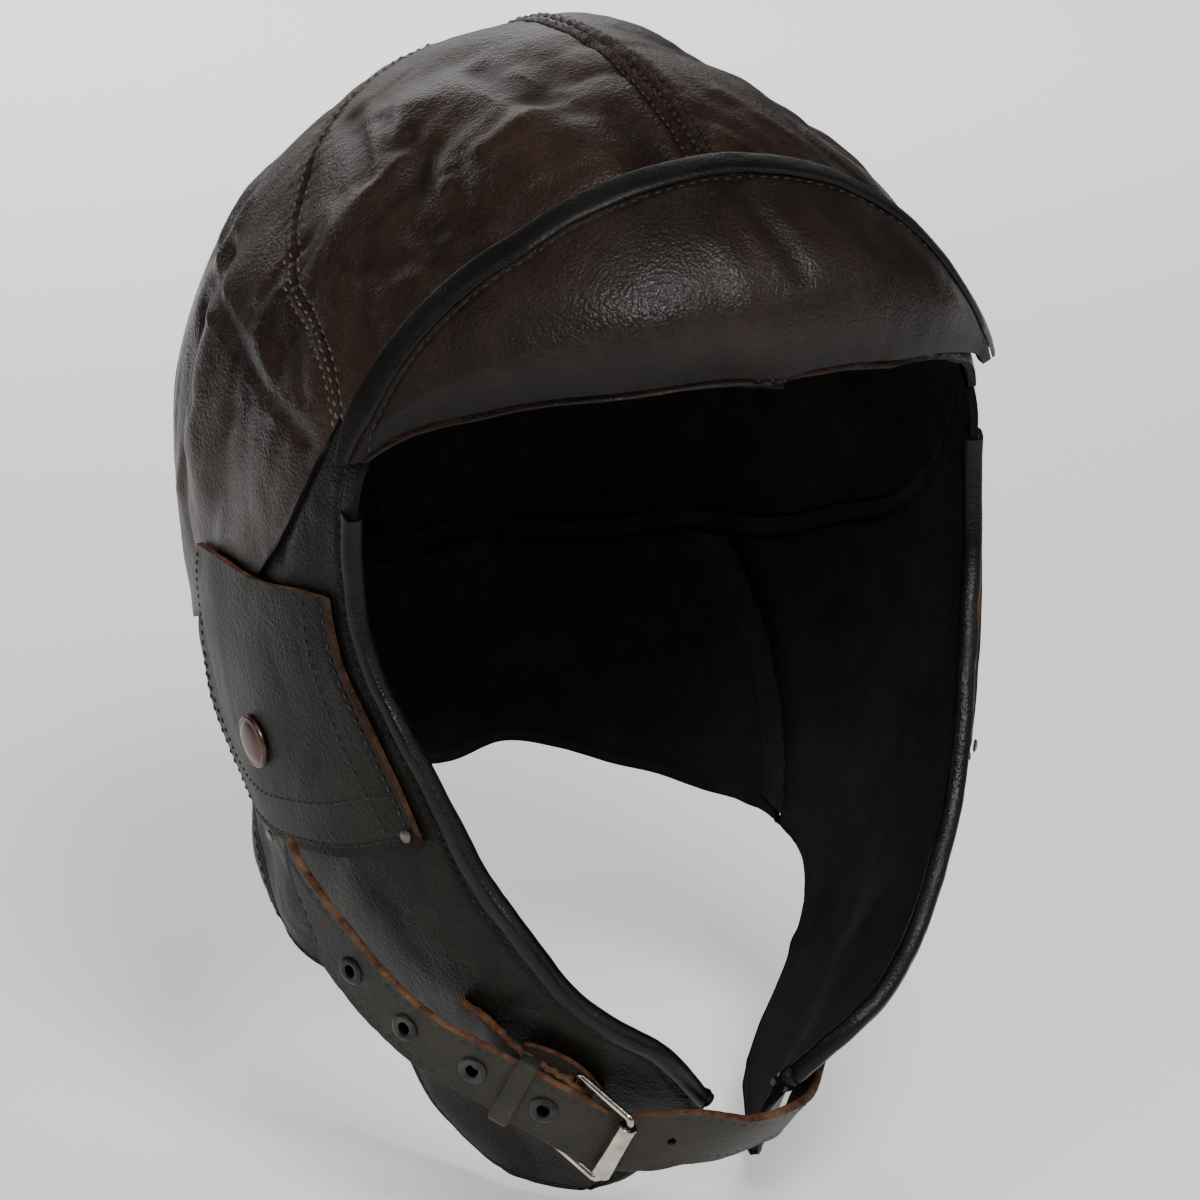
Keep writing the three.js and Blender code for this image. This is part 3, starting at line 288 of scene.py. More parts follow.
def makeGrainGroup():
    # Pebbled leather grain with pores and fine creases, put out as one height without a unit.
    look = grainSettings
    tree, given, end = newGroup("leatherGrain", [
        ("Place", "NodeSocketVector", None), ("Pebbles per metre", "NodeSocketFloat", 900.0),
        ("Creases per metre", "NodeSocketFloat", 160.0), ("Crease share", "NodeSocketFloat", 0.5),
    ], [("Height", "NodeSocketFloat"), ("Worn tops", "NodeSocketFloat")])
    warp = addNode(tree, "ShaderNodeTexNoise", {"Vector": given["Place"], "Scale": look["warpScale"],
                                                "Detail": 2.0})
    shift = addNode(tree, "ShaderNodeVectorMath", {0: warp.outputs["Color"], 1: (look["warp"],) * 3},
                    operation="MULTIPLY")
    place = addNode(tree, "ShaderNodeVectorMath", {0: given["Place"], 1: shift.outputs["Vector"]},
                    operation="ADD").outputs["Vector"]
    pebbles = addNode(tree, "ShaderNodeTexVoronoi", {"Vector": place, "Scale": given["Pebbles per metre"]},
                      feature="F1")
    creases = addNode(tree, "ShaderNodeTexNoise", {"Vector": place, "Scale": given["Creases per metre"],
                                                   "Detail": look["creaseDetail"],
                                                   "Roughness": look["creaseRoughness"]})
    fromLine = mathNode(tree, "ABSOLUTE", mathNode(tree, "SUBTRACT", creases.outputs["Fac"], 0.5))
    line = addNode(tree, "ShaderNodeMapRange", {"Value": fromLine, "From Max": look["creaseWidth"]})
    pores = addNode(tree, "ShaderNodeTexNoise", {"Vector": place, "Scale": look["poresPerMetre"],
                                                 "Detail": 2.0})
    domes = mathNode(tree, "SUBTRACT", 1.0, pebbles.outputs["Distance"])
    rough = mathNode(tree, "MULTIPLY", pores.outputs["Fac"], look["poreShare"])
    creased = mathNode(tree, "MULTIPLY", line.outputs["Result"], given["Crease share"])
    height = mathNode(tree, "ADD", mathNode(tree, "ADD", domes, rough), creased)
    tree.links.new(height, end.inputs["Height"])
    tree.links.new(line.outputs["Result"], end.inputs["Worn tops"])
    return tree


toneSettings = {"patchFrom": 0.36, "patchTo": 0.66, "specksPerMetre": 110.0, "speckFrom": 0.45,
                "speckTo": 0.75}


def makeToneGroup():
    # Slow colour patches, rubbed places and dirt for any finish.
    look = toneSettings
    tree, given, end = newGroup("uneven tone", [
        ("Place", "NodeSocketVector", None), ("Patches per metre", "NodeSocketFloat", 14.0),
        ("Deep", "NodeSocketColor", (0.02, 0.015, 0.01, 1)),
        ("Body", "NodeSocketColor", (0.04, 0.03, 0.02, 1)),
        ("Rubbed", "NodeSocketColor", (0.09, 0.07, 0.05, 1)), ("Rubbed share", "NodeSocketFloat", 0.3),
    ], [("Color", "NodeSocketColor"), ("Patch", "NodeSocketFloat")])
    slow = addNode(tree, "ShaderNodeTexNoise", {"Vector": given["Place"], "Scale": given["Patches per metre"],
                                                "Detail": 3.0, "Roughness": 0.55})
    fine = addNode(tree, "ShaderNodeTexNoise", {"Vector": given["Place"], "Scale": look["specksPerMetre"],
                                                "Detail": 4.0, "Roughness": 0.65})
    patch = addNode(tree, "ShaderNodeMapRange", {"Value": slow.outputs["Fac"], "From Min": look["patchFrom"],
                                                 "From Max": look["patchTo"]}).outputs["Result"]
    speck = addNode(tree, "ShaderNodeMapRange", {"Value": fine.outputs["Fac"], "From Min": look["speckFrom"],
                                                 "From Max": look["speckTo"]}).outputs["Result"]
    body = mixColour(tree, patch, given["Deep"], given["Body"])
    rub = mathNode(tree, "MULTIPLY", speck, given["Rubbed share"])
    tree.links.new(mixColour(tree, rub, body, given["Rubbed"]), end.inputs["Color"])
    tree.links.new(patch, end.inputs["Patch"])
    return tree


grainGroup = makeGrainGroup()
toneGroup = makeToneGroup()


def srgb(red, green, blue):
    def channel(value):
        value /= 255
        return value / 12.92 if value <= 0.04045 else ((value + 0.055) / 1.055) ** 2.4
    return (channel(red), channel(green), channel(blue))


def newFinish(name):
    finish = bpy.data.materials.new(name)
    finish.use_nodes = True
    tree = finish.node_tree
    shader = tree.nodes["Principled BSDF"]
    place = addNode(tree, "ShaderNodeTexCoord").outputs["Object"]
    return finish, tree, shader, place


def groupNode(tree, group, place, values):
    node = addNode(tree, "ShaderNodeGroup", node_tree=group)
    tree.links.new(place, node.inputs["Place"])
    for key, value in values.items():
        node.inputs[key].default_value = value
    return node.outputs


# Painted shade mask settings: creases darken with their depth, and seam edges darken as seam dirt and painted
# shade. tone is the darkened colour's share of the deep colour, and dulling adds roughness.
grimeAndShadeSettings = {"tone": 0.25, "dulling": 0.35, "creaseShare": 0.6, "creaseDepth": 0.0016}
grainDepth = 0.00025


def leatherFinish(name, look):
    finish, tree, shader, place = newFinish(name)
    tone = groupNode(tree, toneGroup, place, {
        "Deep": (*srgb(*look["deep"]), 1), "Body": (*srgb(*look["body"]), 1),
        "Rubbed": (*srgb(*look["rubbed"]), 1), "Rubbed share": look["rubbedShare"],
        "Patches per metre": look["patches"],
    })
    grain = groupNode(tree, grainGroup, place, {
        "Pebbles per metre": look["pebbles"], "Creases per metre": look["creases"],
        "Crease share": look["creaseShare"],
    })
    # Painted shade and seam dirt: this point attribute darkens the base colour towards a dim copy of the deep
    # colour and adds roughness.
    grimeAndPaintedShade = addNode(tree, "ShaderNodeAttribute", attribute_name="grimeAndPaintedShade").outputs["Fac"]
    grimeAndShadeColour = tuple(grimeAndShadeSettings["tone"] * channel for channel in srgb(*look["deep"]))
    tree.links.new(mixColour(tree, grimeAndPaintedShade, tone["Color"], grimeAndShadeColour), shader.inputs["Base Color"])
    rough = addNode(tree, "ShaderNodeMapRange", {"Value": tone["Patch"], "To Min": look["roughLow"],
                                                 "To Max": look["roughHigh"]})
    dull = mathNode(tree, "MULTIPLY", grimeAndPaintedShade, grimeAndShadeSettings["dulling"])
    tree.links.new(mathNode(tree, "ADD", rough.outputs["Result"], dull), shader.inputs["Roughness"])
    bump = addNode(tree, "ShaderNodeBump", {"Height": grain["Height"], "Strength": look["bump"],
                                            "Distance": grainDepth})
    tree.links.new(bump.outputs["Normal"], shader.inputs["Normal"])
    shader.inputs["IOR"].default_value = 1.5
    shader.inputs["Specular IOR Level"].default_value = look["specular"]
    return finish


finishes = {
    "crown": leatherFinish("crownLeather", {
        "deep": (26, 14, 10), "body": (46, 30, 22), "rubbed": (72, 52, 40), "rubbedShare": 0.3, "patches": 16,
        "pebbles": 1100, "creases": 330, "creaseShare": 0.35, "roughLow": 0.27, "roughHigh": 0.42,
        "bump": 0.55, "specular": 0.25}),
    "peak": leatherFinish("peakLeather", {
        "deep": (22, 13, 10), "body": (40, 28, 22), "rubbed": (66, 52, 44), "rubbedShare": 0.25,
        "patches": 14, "pebbles": 1200, "creases": 420, "creaseShare": 0.3, "roughLow": 0.3,
        "roughHigh": 0.44, "bump": 0.55, "specular": 0.25}),
    "flap": leatherFinish("flapLeather", {
        "deep": (13, 11, 8), "body": (25, 22, 16), "rubbed": (46, 40, 30), "rubbedShare": 0.32,
        "patches": 22, "pebbles": 1100, "creases": 300, "creaseShare": 0.4, "roughLow": 0.36,
        "roughHigh": 0.52, "bump": 0.6, "specular": 0.16}),
    "binding": leatherFinish("bindingLeather", {
        "deep": (10, 9, 9), "body": (17, 15, 14), "rubbed": (34, 30, 28), "rubbedShare": 0.2, "patches": 40,
        "pebbles": 1300, "creases": 500, "creaseShare": 0.3, "roughLow": 0.3, "roughHigh": 0.42,
        "bump": 0.3, "specular": 0.2}),
    "strap": leatherFinish("strapLeather", {
        "deep": (26, 24, 20), "body": (42, 38, 31), "rubbed": (72, 64, 52), "rubbedShare": 0.3, "patches": 40,
        "pebbles": 1200, "creases": 420, "creaseShare": 0.4, "roughLow": 0.45, "roughHigh": 0.6,
        "bump": 0.5, "specular": 0.3}),
    "rawEdge": leatherFinish("rawLeatherEdge", {
        "deep": (44, 27, 18), "body": (92, 58, 38), "rubbed": (142, 108, 80), "rubbedShare": 0.6,
        "patches": 420, "pebbles": 1700, "creases": 700, "creaseShare": 0.7, "roughLow": 0.75,
        "roughHigh": 0.9, "bump": 0.8, "specular": 0.2}),
    "lining": leatherFinish("darkLining", {
        "deep": (20, 19, 18), "body": (34, 32, 30), "rubbed": (56, 53, 50), "rubbedShare": 0.3, "patches": 30,
        "pebbles": 1500, "creases": 900, "creaseShare": 0.6, "roughLow": 0.8, "roughHigh": 0.92,
        "bump": 0.7, "specular": 0.15}),
}


threadSettings = {"patches": 260.0, "strandsPerMetre": 900.0, "distortion": 3.0, "bump": 0.4, "depth": 0.0001,
                  "roughness": 0.6}


def threadFinish(name, deep, body):
    look = threadSettings
    finish, tree, shader, place = newFinish(name)
    tone = groupNode(tree, toneGroup, place, {
        "Deep": (*srgb(*deep), 1), "Body": (*srgb(*body), 1), "Rubbed": (*srgb(*body), 1),
        "Rubbed share": 0.5, "Patches per metre": look["patches"]})
    strands = addNode(tree, "ShaderNodeTexWave", {"Vector": place, "Scale": look["strandsPerMetre"],
                                                    "Distortion": look["distortion"]})
    bump = addNode(tree, "ShaderNodeBump", {"Height": strands.outputs["Fac"], "Strength": look["bump"],
                                            "Distance": look["depth"]})
    tree.links.new(tone["Color"], shader.inputs["Base Color"])
    tree.links.new(bump.outputs["Normal"], shader.inputs["Normal"])
    shader.inputs["Roughness"].default_value = look["roughness"]
    return finish


finishes["crownThread"] = threadFinish("brownThread", (58, 42, 32), (104, 82, 66))
finishes["seamThread"] = threadFinish("redBrownThread", (18, 7, 6), (40, 18, 14))
finishes["flapThread"] = threadFinish("darkThread", (14, 12, 11), (34, 29, 25))


scratchSettings = {"patches": 160.0, "perMetre": 900.0, "from": 0.3, "to": 0.7, "bump": 0.08, "depth": 0.0001}


def metalFinish(name, look):
    fine = scratchSettings
    finish, tree, shader, place = newFinish(name)
    tone = groupNode(tree, toneGroup, place, {
        "Deep": (*srgb(*look["deep"]), 1), "Body": (*srgb(*look["body"]), 1),
        "Rubbed": (*srgb(*look["rubbed"]), 1), "Rubbed share": look["rubbedShare"],
        "Patches per metre": fine["patches"]})
    tree.links.new(tone["Color"], shader.inputs["Base Color"])
    scratch = addNode(tree, "ShaderNodeTexNoise", {"Vector": place, "Scale": fine["perMetre"], "Detail": 5.0,
                                                   "Roughness": 0.7})
    rough = addNode(tree, "ShaderNodeMapRange", {"Value": scratch.outputs["Fac"], "From Min": fine["from"],
                                                 "From Max": fine["to"], "To Min": look["roughLow"],
                                                 "To Max": look["roughHigh"]})
    tree.links.new(rough.outputs["Result"], shader.inputs["Roughness"])
    bump = addNode(tree, "ShaderNodeBump", {"Height": scratch.outputs["Fac"], "Strength": fine["bump"],
                                            "Distance": fine["depth"]})
    tree.links.new(bump.outputs["Normal"], shader.inputs["Normal"])
    shader.inputs["Metallic"].default_value = look["metallic"]
    return finish


finishes["snapMetal"] = metalFinish("brownEnamelSnap", {
    "deep": (52, 32, 26), "body": (82, 54, 46), "rubbed": (120, 92, 82), "rubbedShare": 0.2,
    "roughLow": 0.22, "roughHigh": 0.34, "metallic": 0.45})
finishes["eyeletMetal"] = metalFinish("blackenedBrass", {
    "deep": (36, 36, 38), "body": (62, 62, 64), "rubbed": (120, 118, 112), "rubbedShare": 0.3,
    "roughLow": 0.25, "roughHigh": 0.42, "metallic": 0.9})
finishes["rivetMetal"] = metalFinish("dullNickel", {
    "deep": (60, 58, 54), "body": (104, 101, 95), "rubbed": (170, 166, 158), "rubbedShare": 0.3,
    "roughLow": 0.28, "roughHigh": 0.45, "metallic": 0.9})
finishes["buckleMetal"] = metalFinish("nickelPlate", {
    "deep": (150, 145, 132), "body": (205, 200, 188), "rubbed": (230, 226, 216), "rubbedShare": 0.3,
    "roughLow": 0.12, "roughHigh": 0.26, "metallic": 1.0})
print("finishes made:", len(finishes))


# Mesh helpers
def deselectAll():
    bpy.ops.object.select_all(action="DESELECT")


def makeActive(piece):
    deselectAll()
    piece.select_set(True)
    bpy.context.view_layer.objects.active = piece


def applyModifier(piece, kind, **settings):
    makeActive(piece)
    modifier = piece.modifiers.new(kind.lower(), kind)
    for key, value in settings.items():
        setattr(modifier, key, value)
    bpy.ops.object.modifier_apply(modifier=modifier.name)


def dress(piece, finishNames, nodes=()):
    slots = piece.data.materials
    while len(slots) < len(finishNames):
        slots.append(None)
    for number, name in enumerate(finishNames):
        slots[number] = finishes[name]
    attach(piece, "root")
    if nodes:
        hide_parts(*nodes)
    return piece


def smoothByAngle(piece, degrees):
    makeActive(piece)
    bpy.ops.object.shade_smooth_by_angle(angle=math.radians(degrees))


def gridPiece(name, points, wall, grimeAndPaintedShade=None, normals=None):
    across, down = points.shape[0] - 1, points.shape[1] - 1
    deselectAll()
    bpy.ops.mesh.primitive_grid_add(x_subdivisions=across, y_subdivisions=down, size=1, location=(0, 0, 0))
    piece = bpy.context.object
    piece.name = piece.data.name = name
    flat = np.empty(len(piece.data.vertices) * 3)
    piece.data.vertices.foreach_get("co", flat)
    flat = flat.reshape(-1, 3)
    i = np.rint((flat[:, 0] + 0.5) * across).astype(int)
    j = np.rint((flat[:, 1] + 0.5) * down).astype(int)
    piece.data.vertices.foreach_set("co", points[i, j].ravel())
    piece.data.update()
    # Painted shade and seam dirt, stored per point for the finishes to darken by.
    if grimeAndPaintedShade is not None:
        piece.data.attributes.new("grimeAndPaintedShade", "FLOAT", "POINT").data.foreach_set("value", grimeAndPaintedShade[i, j].ravel())
    middle = len(piece.data.polygons) // 2
    face = piece.data.polygons[middle]
    if Vector(face.normal).dot(Vector(face.center) - Vector((0, 0, -headSizes["crownDepth"]))) < 0:
        piece.data.flip_normals()
    for _ in range(3):
        piece.data.materials.append(None)
    applyModifier(piece, "SOLIDIFY", thickness=wall, offset=-1, use_quality_normals=True,
                  material_offset=1, material_offset_rim=2)
    normals = gridNormals(points) if normals is None else normals
    nearCorner = (np.minimum(i, across - i) < 6) & (np.minimum(j, down - j) < 6)
    settleCorners(piece, points[i, j], normals[i, j], nearCorner, wall)
    return piece


def settleCorners(piece, outer, normals, nearCorner, wall):
    # At a corner that is nearly straight the modifier throws inner points aside. They go back
    # under their outer points.
    count = len(outer)
    places = np.empty(len(piece.data.vertices) * 3)
    piece.data.vertices.foreach_get("co", places)
    places = places.reshape(-1, 3)
    drift = outer - places[count:2 * count]
    normals = normals * np.sign(np.median(np.sum(drift * normals, 1)))
    stray = nearCorner | (np.linalg.norm(drift, axis=1) > 1.4 * wall)
    stray |= np.sum(unit(drift) * normals, 1) < 0.75
    places[count:2 * count][stray] = outer[stray] - wall * normals[stray]
    piece.data.vertices.foreach_set("co", places.ravel())
    piece.data.update()


def loftPiece(name, rings, closed=False, slots=None):
    # Joins equal rings of points into one skin, with a flat cap on each end unless it is closed.
    count, size = rings.shape[:2]
    points = rings.reshape(-1, 3)
    faces, marks = [], []
    for i in range(count if closed else count - 1):
        below = ((i + 1) % count) * size
        for j in range(size):
            k = (j + 1) % size
            faces.append((i * size + j, i * size + k, below + k, below + j))
            marks.append(0 if slots is None else slots[j])
    if not closed:
        faces += [tuple(range(size))[::-1], tuple(range((count - 1) * size, count * size))]
        marks += [max(marks), max(marks)]
    mesh = bpy.data.meshes.new(name)
    mesh.from_pydata(points.tolist(), [], faces)
    mesh.polygons.foreach_set("material_index", marks)
    piece = bpy.data.objects.new(name, mesh)
    bpy.context.scene.collection.objects.link(piece)
    makeActive(piece)
    bpy.ops.object.mode_set(mode="EDIT")
    bpy.ops.mesh.select_all(action="SELECT")
    bpy.ops.mesh.normals_make_consistent(inside=False)
    bpy.ops.object.mode_set(mode="OBJECT")
    return piece


def unit(vectors):
    return vectors / np.maximum(np.linalg.norm(vectors, axis=-1, keepdims=True), 1e-12)


def gridNormals(points):
    along = np.gradient(points, axis=0)
    down = np.gradient(points, axis=1)
    normals = unit(np.cross(down, along))
    for i, j in ((0, 0), (0, -1), (-1, 0), (-1, -1)):
        # The two directions can be in line at a corner, so the normal comes from 2 cells inside it.
        normals[i, j] = normals[(2, -3)[i], (2, -3)[j]]
    outward = points - np.array([0, 0, -headSizes["crownDepth"]])
    return normals * np.sign(np.sum(normals * outward, -1).mean())


def noiseHeight(points, scale, seed):
    flat = (points.reshape(-1, 3) * scale + seed).tolist()
    return np.array([noise.noise(p) for p in flat]).reshape(points.shape[:-1])


wrinkleSettings = {
    "slow": 0.0008, "slowScale": 30, "fine": 0.00007, "fineScale": 260, "warp": 0.006, "warpScale": 45,
    "thereScale": 30, "thereBase": 0.45, "thereSpread": 1.6, "thereSeed": 7.3,
    # crease lines: depth, the noise's scale along x, y and z, half width as a share, seed
    "lines": ((0.0006, (42, 42, 13), 0.14, 63.9), (0.00026, (76, 76, 30), 0.16, 17.7),
              (0.0001, (150, 150, 90), 0.2, 80.3)),
}


creaseSettings = {"wander": 0.0015, "wanderScale": 50, "core": 0.9, "coreWidth": 0.85, "puff": 0.25,
                  "puffWidth": 2}


def creaseHeight(points, rows):
    # A crease is narrow and the skin beside it puffs up a little. Rows that meet end to end make
    # one crease, which is as deep at the joint as elsewhere.
    look = creaseSettings
    wander = look["wander"] * np.stack([noiseHeight(points, look["wanderScale"], seed)
                                        for seed in (8.1, 33.5, 52.9)], -1)
    height, before, joint = np.zeros(points.shape[:-1]), 0, None
    for turnA, reachA, turnB, reachB, depth, width in rows:
        start, end = headPoint(mapPoint(turnA, reachA)), headPoint(mapPoint(turnB, reachB))
        along = end - start
        share = np.clip((points + wander - start) @ along / (along @ along), 0, 1)
        away = np.linalg.norm(points + wander - start - share[..., None] * along, axis=-1) / (width * 0.001)
        core = look["core"] * np.exp(-((away / look["coreWidth"]) ** 2))
        part = depth * 0.001 * (core - look["puff"] * np.exp(-((away / look["puffWidth"]) ** 2)))
        height += part
        if joint == (turnA, reachA):
            height -= np.where(np.abs(part) < np.abs(before), part, before)
        before, joint = part, (turnB, reachB)
    return height


def wrinkleHeight(points):
    # Soft swells with narrow creases, which come and go along their run.
    look = wrinkleSettings
    slow = noiseHeight(points, look["slowScale"], 3.1)
    height = look["slow"] * slow + look["fine"] * noiseHeight(points, look["fineScale"], 41.3)
    warped = points + look["warp"] * np.stack([noiseHeight(points, look["warpScale"], seed)
                                               for seed in (5.7, 29.4, 71.8)], -1)
    for depth, scale, width, seed in look["lines"]:
        line = noiseHeight(warped, np.array(scale, float), seed)
        there = noiseHeight(points, look["thereScale"], seed + look["thereSeed"])
        there = np.clip(look["thereBase"] + look["thereSpread"] * there, 0, 1)
        height -= depth * there * np.exp(-((line / width) ** 2))
    return height


def edgeDistances(points):
    # Distance of each grid point from the four edges, along the grid's own lines.
    stepI = np.linalg.norm(np.diff(points, axis=0), axis=-1)
    stepJ = np.linalg.norm(np.diff(points, axis=1), axis=-1)
    fromFront = np.vstack([np.zeros((1, points.shape[1])), np.cumsum(stepI, 0)])
    fromTop = np.hstack([np.zeros((points.shape[0], 1)), np.cumsum(stepJ, 1)])
    return {"front": fromFront, "rear": fromFront[-1:] - fromFront,
            "top": fromTop, "bottom": fromTop[:, -1:] - fromTop}


# The last two entries darken a strip along each seam edge as seam dirt and painted shade.
seamDefaults = {"roll": 0, "rollWidth": 0.0012, "swell": 0, "swellAt": 0.002, "swellWidth": 0.0016,
                "rows": (), "rowDip": 0.0004, "rowWidth": 0.0008, "pucker": 0, "puckerWidth": 0.005,
                "puckerPitch": 0.0042, "drift": 2.2, "driftScale": 120, "grimeAndPaintedShade": 0.4, "grimeAndShadeWidth": 0.0012}


def seamRelief(points, distances, edges):
    # Edges roll in, stitch rows sink and the leather puckers between the stitches.
    height = np.zeros(points.shape[:2])
    for edge, look in edges.items():
        away = distances[edge]
        run = distances["front"] if edge in ("top", "bottom") else distances["top"]
        look = {**seamDefaults, **look}
        height -= look["roll"] * np.exp(-((away / look["rollWidth"]) ** 2))
        height += look["swell"] * np.exp(-(((away - look["swellAt"]) / look["swellWidth"]) ** 2))
        for inset in look["rows"]:
            height -= look["rowDip"] * np.exp(-(((away - inset) / look["rowWidth"]) ** 2))
        if look["pucker"]:
            drift = look["drift"] * noiseHeight(points, look["driftScale"], 5.5)
            wave = np.sin(run * 2 * math.pi / look["puckerPitch"] + drift)
            height += look["pucker"] * wave * np.exp(-((away / look["puckerWidth"]) ** 2))
    return height


surfaces = {}


def leatherPanel(name, grid, lift, wall, edges, finishNames, extra=None, crinkle=1.0):
    points = skinPoint(grid, lift)
    normals = gridNormals(points)
    distances = edgeDistances(points)
    height = min(crinkle, 1.0) * creaseHeight(headPoint(grid), creaseRows) + crinkle * wrinkleHeight(points)
    height += seamRelief(points, distances, edges)
    if extra is not None:
        height += extra(points, distances)
    # Painted shade: creases darken with their depth, and a strip along each edge darkens as seam dirt and
    # painted shade.
    grimeAndPaintedShade = grimeAndShadeSettings["creaseShare"] * np.clip(-height / grimeAndShadeSettings["creaseDepth"], 0, 1)
    for edge, look in edges.items():
        look = {**seamDefaults, **look}
        grimeAndPaintedShade += look["grimeAndPaintedShade"] * np.exp(-((distances[edge] / look["grimeAndShadeWidth"]) ** 2))
    grimeAndPaintedShade = np.clip(grimeAndPaintedShade, 0, 1)
    points = points + normals * height[..., None]
    surfaces[name] = {"points": points, "normals": gridNormals(points), "distances": distances}
    piece = gridPiece(name, points, wall, grimeAndPaintedShade, normals)
    smoothByAngle(piece, 55)
    return dress(piece, finishNames, [name.replace("_soft", "")])


def insetLine(surface, edge, inset, leg=0.0):
    # The line on a panel that runs a given distance inside one of its edges. With a leg given,
    # the distance shrinks where the panel is narrower than two legs.
    points, normals, away = surface["points"], surface["normals"], surface["distances"][edge]
    if edge in ("front", "rear"):
        points, normals, away = points.transpose(1, 0, 2), normals.transpose(1, 0, 2), away.T
    if edge in ("rear", "bottom"):
        points, normals, away = points[:, ::-1], normals[:, ::-1], away[:, ::-1]
    line, ups = [], []
    for row, up, run in zip(points, normals, away):
        depth = inset * min(1, 0.5 * run[-1] / leg) if leg else inset
        if run[-1] < depth:
            continue
        line.append([np.interp(depth, run, row[:, k]) for k in range(3)])
        ups.append([np.interp(depth, run, up[:, k]) for k in range(3)])
    return np.array(line), unit(np.array(ups))


deselectAll()
bpy.ops.mesh.primitive_uv_sphere_add(segments=6, ring_count=5, radius=1, location=(0, 0, 0))
stitchShape = bpy.context.object
stitchPoints = np.array([v.co for v in stitchShape.data.vertices])[:, [2, 1, 0]] * np.array([1, 1, -1])
stitchFaces = [tuple(p.vertices) for p in stitchShape.data.polygons]
bpy.data.objects.remove(stitchShape)


def stitchRow(line, normals, look, margin=0.0):
    # Returns the vertices of one row of stitches that lie on a line, a margin off its ends.
    length = np.concatenate([[0], np.cumsum(np.linalg.norm(np.diff(line, axis=0), axis=1))])
    count = max(int((length[-1] - 2 * margin) / look["pitch"]), 1)
    places = margin + (np.arange(count) + 0.5) * look["pitch"]
    half = look["pitch"] * look.get("fill", 0.72) / 2

    def at(distance):
        return np.stack([np.interp(distance, length, line[:, k]) for k in range(3)], -1)

    centre = at(places)
    along = unit(at(places + half) - at(places - half))
    up = unit(np.stack([np.interp(places, length, normals[:, k]) for k in range(3)], -1))
    side = unit(np.cross(up, along))
    along = unit(along + side * look.get("slant", 0.0))
    side = unit(np.cross(up, along))
    radius = look["radius"]
    shape = stitchPoints * np.array([half, radius, radius])
    shape[:, 2] -= look.get("sag", 0.0002) * (stitchPoints[:, 0] ** 2)
    shape[:, 2] += look.get("stand", 0.0001)
    return (centre[:, None] + shape[None, :, :1] * along[:, None] + shape[None, :, 1:2] * side[:, None]
            + shape[None, :, 2:] * up[:, None])


def stitchPiece(name, rows, finishName):
    blocks = np.concatenate(rows)
    size = len(stitchPoints)
    faces = [tuple(k + n * size for k in face) for n in range(len(blocks)) for face in stitchFaces]
    mesh = bpy.data.meshes.new(name)
    mesh.from_pydata(blocks.reshape(-1, 3).tolist(), [], faces)
    piece = bpy.data.objects.new(name, mesh)
    bpy.context.scene.collection.objects.link(piece)
    makeActive(piece)
    bpy.ops.object.shade_smooth()
    print("  stitches in", name, len(blocks))
    return dress(piece, [finishName])


# The panels' coarse plans
arch, crownHem, forehead = (sampleCurve(name, 14) for name in ("arch", "crownHem", "forehead"))
faceEdge, napeHem = sampleCurve("faceEdge", 22), sampleCurve("napeHem", 7)
flapHem = sampleCurve("flapHem", 27)
hemSplit, lobeSplit = 7, 18
flapTop = np.vstack([faceEdge[:1], arch[:1], crownHem[:hemSplit + 1]])
flapRearEdge = lerpLine(crownHem[hemSplit], napeHem[0], 4)
flapRear = np.vstack([flapRearEdge, flapHem[1:lobeSplit + 1]])
lobeEnd = flapHem[lobeSplit:][::-1]
centreBack = crownHem[hemSplit:]

panelSettings = {"wall": 0.0018, "frontFine": 14, "sideFine": 13, "flapFine": 12}
stitchInsets = {"seam": 0.0034, "seamMiddle": 0.0006, "archFront": 0.0019, "archFirst": 0.0017,
                "archSecond": 0.0038, "face": 0.0052, "hem": 0.0024, "nape": 0.0028, "peak": 0.0071,
                "pocketFront": 0.002, "patch": 0.002}
seamLook = {"roll": 0.0009, "rollWidth": 0.0011}
archLook = {**seamLook, "pucker": 0.00016, "swell": 0.0003, "swellAt": 0.001}
centreLook = {**seamLook, "rows": (stitchInsets["seam"],), "pucker": 0.00026, "puckerWidth": 0.0042,
              "rowDip": 0.001, "swell": 0.0007, "swellAt": 0.0018}
hemLook = {"rows": (stitchInsets["hem"],), "roll": 0.0005, "rollWidth": 0.001, "swell": 0.0004,
           "swellAt": 0.0012}
panelEdges = {
    "crown_front": {
        "rear": centreLook,
        "bottom": {**archLook, "rows": (stitchInsets["archFront"],)},
    },
    "crown_side": {
        "top": {**archLook, "rows": (stitchInsets["archFirst"], stitchInsets["archSecond"])},
        "rear": centreLook,
        "bottom": {"roll": -0.0005, "rollWidth": 0.004},
    },
    "ear_flap": {
        "top": {"roll": 0.0007, "rollWidth": 0.003},
        "front": {"rows": (stitchInsets["face"],), "rowDip": 0.0006},
        "rear": hemLook,
        "bottom": {**hemLook, "rowDip": 0.0006},
    },
}


def panelGrid(name):
    fine = panelSettings
    if name == "crown_front":
        return betweenSeams(refine(forehead, fine["frontFine"]), refine(arch, fine["frontFine"]),
                            9 * fine["frontFine"])
    if name == "crown_side":
        return betweenSeams(refine(arch, fine["sideFine"]), refine(crownHem, fine["sideFine"]),
                            11 * fine["sideFine"])
    return fillPatch(refine(flapTop, fine["flapFine"], (1, 2)), refine(lobeEnd, fine["flapFine"]),
                     refine(faceEdge, fine["flapFine"]), refine(flapRear, fine["flapFine"], (4,)))


